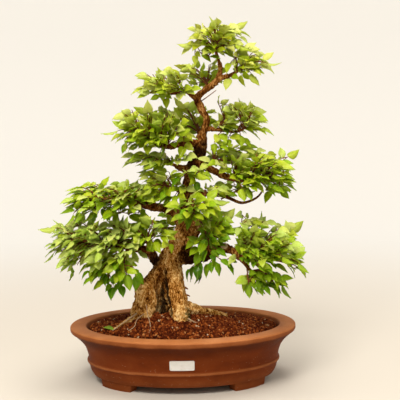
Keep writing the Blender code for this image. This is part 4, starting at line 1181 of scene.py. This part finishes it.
def shootRoute(pad, starts, index, seed, reach=(1.0, 1.0)):
    # the bowed middle line of a shoot, from the stem to a place in the pad
    draw = random.Random(1000 * seed + index)
    half = pad["half"]
    turn = math.tau * ((index * 0.8191725 + 0.13 * seed) % 1)
    out = math.sqrt(0.3 + 0.7 * ((index * 0.6710436 + 0.62) % 1))
    height = -0.8 + 1.8 * ((index * 0.5497005 + 0.31) % 1)
    height *= math.sqrt(1 - 0.4 * out * out)
    out, height = out * reach[0], height * reach[1]
    target = Vector(pad["centre"]) + Vector(
        (half[0] * out * math.cos(turn), half[1] * out * math.sin(turn), half[2] * height)
    )
    nearest = min(range(len(starts)), key=lambda i: (starts[i] - target).length)
    start = starts[max(0, nearest - 3)]
    sway = [draw.uniform(-0.06, 0.06) for _ in range(2)]
    middle = (start + target) / 2 + Vector((*sway, 0.2)) * (target - start).length
    return bowed(start, middle, target, [i / shoot["steps"] for i in range(shoot["steps"] + 1)])


def fromTrunk(place, weights=(1, 1)):
    # the level direction from the trunk to a place
    x, y = (weights[i] * (place[i] - trunkAxis[i]) for i in range(2))
    return Vector((x, y, 0)).normalized()


def shootFacing(route, draw, leans, weights, factor=1):
    # what a shoot's leaves look towards: up, and by the lean away from the trunk
    facing = Vector((draw.uniform(-0.2, 0.2), draw.uniform(-0.2, 0.2), 1))
    facing += fromTrunk(route[-1], weights) * (draw.uniform(*leans) * factor)
    return facing - facing.project(route[-1] - route[0])


def packedLeaves(route, seed, near):
    # the leaves that the CAD shoot has: the same draws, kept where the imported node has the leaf
    draw = random.Random(seed)
    length = routeLength(route)
    facing = shootFacing(route, draw, shoot["leans"], shoot["weights"])
    leaves = []
    side = draw.choice((1, -1))
    count = clamp(int((length - shoot["bareLength"]) / shoot["leafSpacing"]), 1, shoot["mostLeaves"])
    for i in range(count):
        side = -side
        distance = length - (0.55 + count - 1 - i) * shoot["leafSpacing"]
        if distance < shoot["bareLength"]:
            continue
        point, ahead = alongRoute(route, distance)
        across = facing.cross(ahead).normalized() * side
        slant = math.radians(draw.uniform(*shoot["slants"]))
        size = shoot["leafLength"] * draw.uniform(*shoot["sizes"]) * (0.8 if i == 0 else 1)
        droop = draw.uniform(*shoot["droops"])
        share = min(1, distance / length)
        base = point + across * (shoot["rootHalf"] + share * (shoot["tipHalf"] - shoot["rootHalf"]))
        for more in (0, 20, -20, 40, 60):
            turn = Matrix.Rotation(math.radians(side * -(droop + more)), 3, ahead)
            out, up = turn @ across, turn @ facing.normalized()
            along = ahead * math.sin(slant) + out * math.cos(slant)
            wide = out * math.sin(slant) - ahead * math.cos(slant)
            draw.choice((1, -1))  # the CAD draws here too
            if near(base, along, wide, up, size):
                leaves.append((point, along, up, size, distance))
                break
    point, ahead = alongRoute(route, length)
    across = facing.cross(ahead).normalized()
    along = (ahead + facing.normalized() * draw.uniform(-0.8, -0.1)).normalized()
    up, size = along.cross(-across), shoot["leafLength"] * draw.uniform(0.9, 1.1)
    if near(point, along, across, up, size):
        leaves.append((point, along, up, size, length))
    return leaves


def addedLeaves(route, seed, pad, hang):
    # the leaves of a shoot that only the scene has; they hang more than they rise,
    # most of all low down in the pad
    draw = random.Random(seed)
    length = routeLength(route)
    factor = 1.15 - 0.0038 * abs(route[-1].x - trunkAxis[0])
    facing = shootFacing(route, draw, shoot["extraLeans"], shoot["extraWeights"], factor)

    def hung(along, place):
        low = clamp((pad["centre"][2] - place.z) / pad["half"][2])
        fall = draw.uniform(*shoot["extraFalls"]) + low * draw.uniform(0.0, 0.3) + hang * draw.random()
        away = fromTrunk(place) * shoot["extraOut"]
        return Vector((along.x + away.x, along.y + away.y, along.z * 0.4 - fall)).normalized()

    leaves = []
    side = draw.choice((1, -1))
    distance = length - 0.5 * shoot["extraSpacing"]
    while distance > 0.4 * min(length, shoot["bareLength"]) and len(leaves) < shoot["mostExtra"]:
        side = -side
        point, ahead = alongRoute(route, distance)
        across = facing.cross(ahead).normalized() * side
        slant = math.radians(draw.uniform(*shoot["extraSlants"]))
        size = shoot["leafLength"] * draw.uniform(*shoot["extraSizes"])
        turn = Matrix.Rotation(math.radians(side * -draw.uniform(*shoot["extraDroops"])), 3, ahead)
        along = hung(ahead * math.sin(slant) + turn @ across * math.cos(slant), point)
        up = turn @ facing.normalized() + Vector([draw.uniform(-0.3, 0.3) for _ in range(3)])
        leaves.append((point, along, up, size, distance))
        distance -= shoot["extraSpacing"] * draw.uniform(0.85, 1.2)
    point, ahead = alongRoute(route, length)
    along = hung(ahead, point)
    up = along.cross(facing.cross(along))
    leaves.append((point, along, up, shoot["leafLength"] * draw.uniform(0.7, 1.0), length))
    return leaves


def leafMatrix(base, along, up, size):
    across = up.cross(along).normalized()
    turned = Matrix((along, across, along.cross(across))).transposed().to_4x4()
    return Matrix.Translation(base) @ turned @ Matrix.Scale(size, 4)


leafMiddles = []  # of every leaf so far, in millimetres


def inPad(place, pad):
    # inside the pad's oval, let out by what its leaves reach
    shares = [(place[i] - pad["centre"][i]) / (pad["half"][i] + shoot["beyondPad"][i]) for i in range(3)]
    return sum(share * share for share in shares) < 1.15


def roomFor(point, along, size, recent):
    # leaves lie in layers, so they keep further apart across than in height
    middle = point + along * size * shoot["leafMiddle"]
    across, up = shoot["clear"]
    for other in recent:
        gap = other - middle
        if (gap.x * gap.x + gap.y * gap.y) / across**2 + gap.z * gap.z / up**2 < 1:
            return False
    tip = toRow @ (point + along * size)
    for spot in (toRow @ middle, tip):
        if woodTree.find_nearest(spot, shoot["woodClear"] * mm)[0] is not None or inWood(spot):
            return False
    beyond = shoot["beyondBox"] * mm
    low, high = cadBounds
    return tip.z > shoot["lowest"] and all(low[i] - beyond < tip[i] < high[i] + beyond for i in range(3))


def sprayShoots(name, pad, seed, starts):
    # every shoot as (route, leaves, whether it's packed, fewest leaves), and how many are packed
    packed = treeOf(frame["nodes"]["spray_" + name].data)
    place, half = shoot["widest"]

    def near(base, along, wide, up, size):
        for share, out in ((place, half), (place, -half), (1, 0)):
            spot = base + along * share * size + wide * out * size + up * abs(out) * size * shoot["fold"]
            if packed.find_nearest(toRow @ spot, shoot["match"] * mm)[0] is None:
                return False
        return True

    shoots, spare = [], []
    tried, tries = shoot["packedTries"] * pad["shoots"], shoot["extraTries"] * pad["shoots"]
    for index in range(tried):
        route = shootRoute(pad, starts, index, seed)
        leaves = packedLeaves(route, 100 * seed + index, near)
        if len(leaves) > 1:
            shoots.append((route, leaves, True, 1))
        else:
            spare.append(index)
    kept = len(shoots)
    roots = starts + [place for route, *_ in shoots for place in route]
    for index, (*target, hang) in enumerate((*t, pad["hang"])[:4] for t in tufts.get(name, ())):
        target = Vector(target)
        start = min(roots, key=lambda p: abs((p - target).length - shoot["tuftBack"]))
        target -= (target - start).normalized() * min(8.0, 0.3 * (target - start).length)
        middle = (start + target) / 2 + Vector((0, 0, 0.15 * (target - start).length))
        route = bowed(start, middle, target, (0, 0.33, 0.67, 1))
        roots.extend(route[1:])
        shoots.append((route, addedLeaves(route, 9000 * seed + index, pad, hang), False, 1))
    for index in [*spare, *range(tried, tried + tries)][:tries]:
        route = shootRoute(pad, starts, index, seed, shoot["extraReach"])
        leaves = addedLeaves(route, 7000 * seed + index, pad, pad["hang"])
        inside = [each for each in leaves if inPad(each[0] + each[1] * each[3], pad)]
        shoots.append((route, inside, False, 2))
    return shoots, kept


def makeSpray(name, pad, seed):
    limb = limbRoutes[name]
    last, before = Vector(limb[-1][:3]), Vector(limb[-2][:3])
    stem = [last - (last - before).normalized() * 6, last, *(Vector(p) for p in pad["stem"])]
    starts = [Vector(p[:3]) for p in smoothRoute([(*p, 0) for p in stem[1:]], 3)][1:]
    shoots, kept = sprayShoots(name, pad, seed, starts)
    centre, half = Vector(pad["centre"]), pad["half"]
    draw = random.Random(300 + seed)
    routes, stalks, placed = [], [], []
    close = [m for m in leafMiddles
             if all(abs(m[i] - centre[i]) < half[i] + shoot["nearPad"] for i in range(3))]
    for route, leaves, isPacked, fewest in shoots:
        length = routeLength(route)
        grown, first = [], len(close)
        for point, along, up, size, distance in leaves:
            if isPacked or roomFor(point, along, size, close):
                close.append(point + along * size * shoot["leafMiddle"])
                grown.append((point, along, up, size, distance))
        if len(grown) < fewest:
            del close[first:]
            continue
        leafMiddles.extend(close[first:])
        routes.append(smoothRoute(tapered(route, *shoot["radius"]), 3))
        for point, along, up, size, distance in grown:
            base = point + along * leaf["stalk"]
            stalks.append([(*point, leaf["stalkRadius"] * 1.2), (*(base + along), leaf["stalkRadius"] * 0.8)])
            middle = point + along * size * 0.6
            # tone holds painted light and shade: paler high and out in the pad, high in the tree and in light
            # pads, darker in hanging pads; paler young leaves at shoot tips and the random spread are the
            # leaves' own
            high, tall = (middle.z - centre.z) / half[2], (middle.z - 200) / 350
            out = math.hypot((middle.x - centre.x) / half[0], (middle.y - centre.y) / half[1])
            tone = 0.69 + 0.07 * tall + pad["light"] + 0.15 * high + 0.12 * (out - 0.6)
            tone += 0.11 if distance > length - 12 else 0
            tone += draw.uniform(-0.18, 0.17) - 0.25 * pad["hang"]
            chance = 0.62 * draw.random() + 0.5 * tall
            placed.append((
                draw.randrange(len(leafKinds)),
                leafMatrix(base, along, up, size * shoot["bladeShare"] - leaf["stalk"]),
                {"tone": clamp(tone), "chance": clamp(chance)},
            ))
    leaves = scatter("leaves", leafKinds, placed, finishes["leaf"])
    leaves.data.shade_smooth()
    stemRoute = smoothRoute(tapered(stem, limb[-1][3], shoot["stemEnd"]), 4)
    bough = strands("stem", [stemRoute], finishes["bark"], 2)
    for key, value in (("relief", 0.5), ("young", 1.0)):
        giveAttribute(bough.data, key, np.full(len(bough.data.vertices), value))
    twigs, stalks = (
        strands("twigs", routes, finishes["twig"], 1), strands("stalks", stalks, finishes["twig"]),
    )
    pick(twigs, stalks, bough, leaves)
    bpy.ops.object.join()
    finishPiece(leaves, "leafySpray_" + name, "leaf", "spray_" + name)
    return len(placed), kept


leafCount = 0
for seed, (name, pad) in enumerate(sprayPads.items(), 1):
    count, kept = makeSpray(name, pad, seed)
    leafCount += count
    print("spray", name, count, "leaves, packed shoots", kept, "of", pad["shoots"])
print("sprays made", leafCount)


fallenLeaf = {"at": (-122, -42, 94), "turn": -35, "length": 22, "look": {"tone": 0.62, "chance": 0.3}}


def makeFallenLeaf():
    along = Matrix.Rotation(math.radians(fallenLeaf["turn"]), 3, "Z") @ Vector((1, 0, 0))
    matrix = leafMatrix(Vector(fallenLeaf["at"]), along, Vector((0, 0, 1)), fallenLeaf["length"])
    fallen = scatter("fallen", leafKinds[:1], [(0, matrix, fallenLeaf["look"])], finishes["leaf"])
    fallen.data.shade_smooth()
    finishPiece(fallen, "fallenLeaf", "leaf", "fallen_leaf")


makeFallenLeaf()
for kind in leafKinds:
    bpy.data.objects.remove(kind)
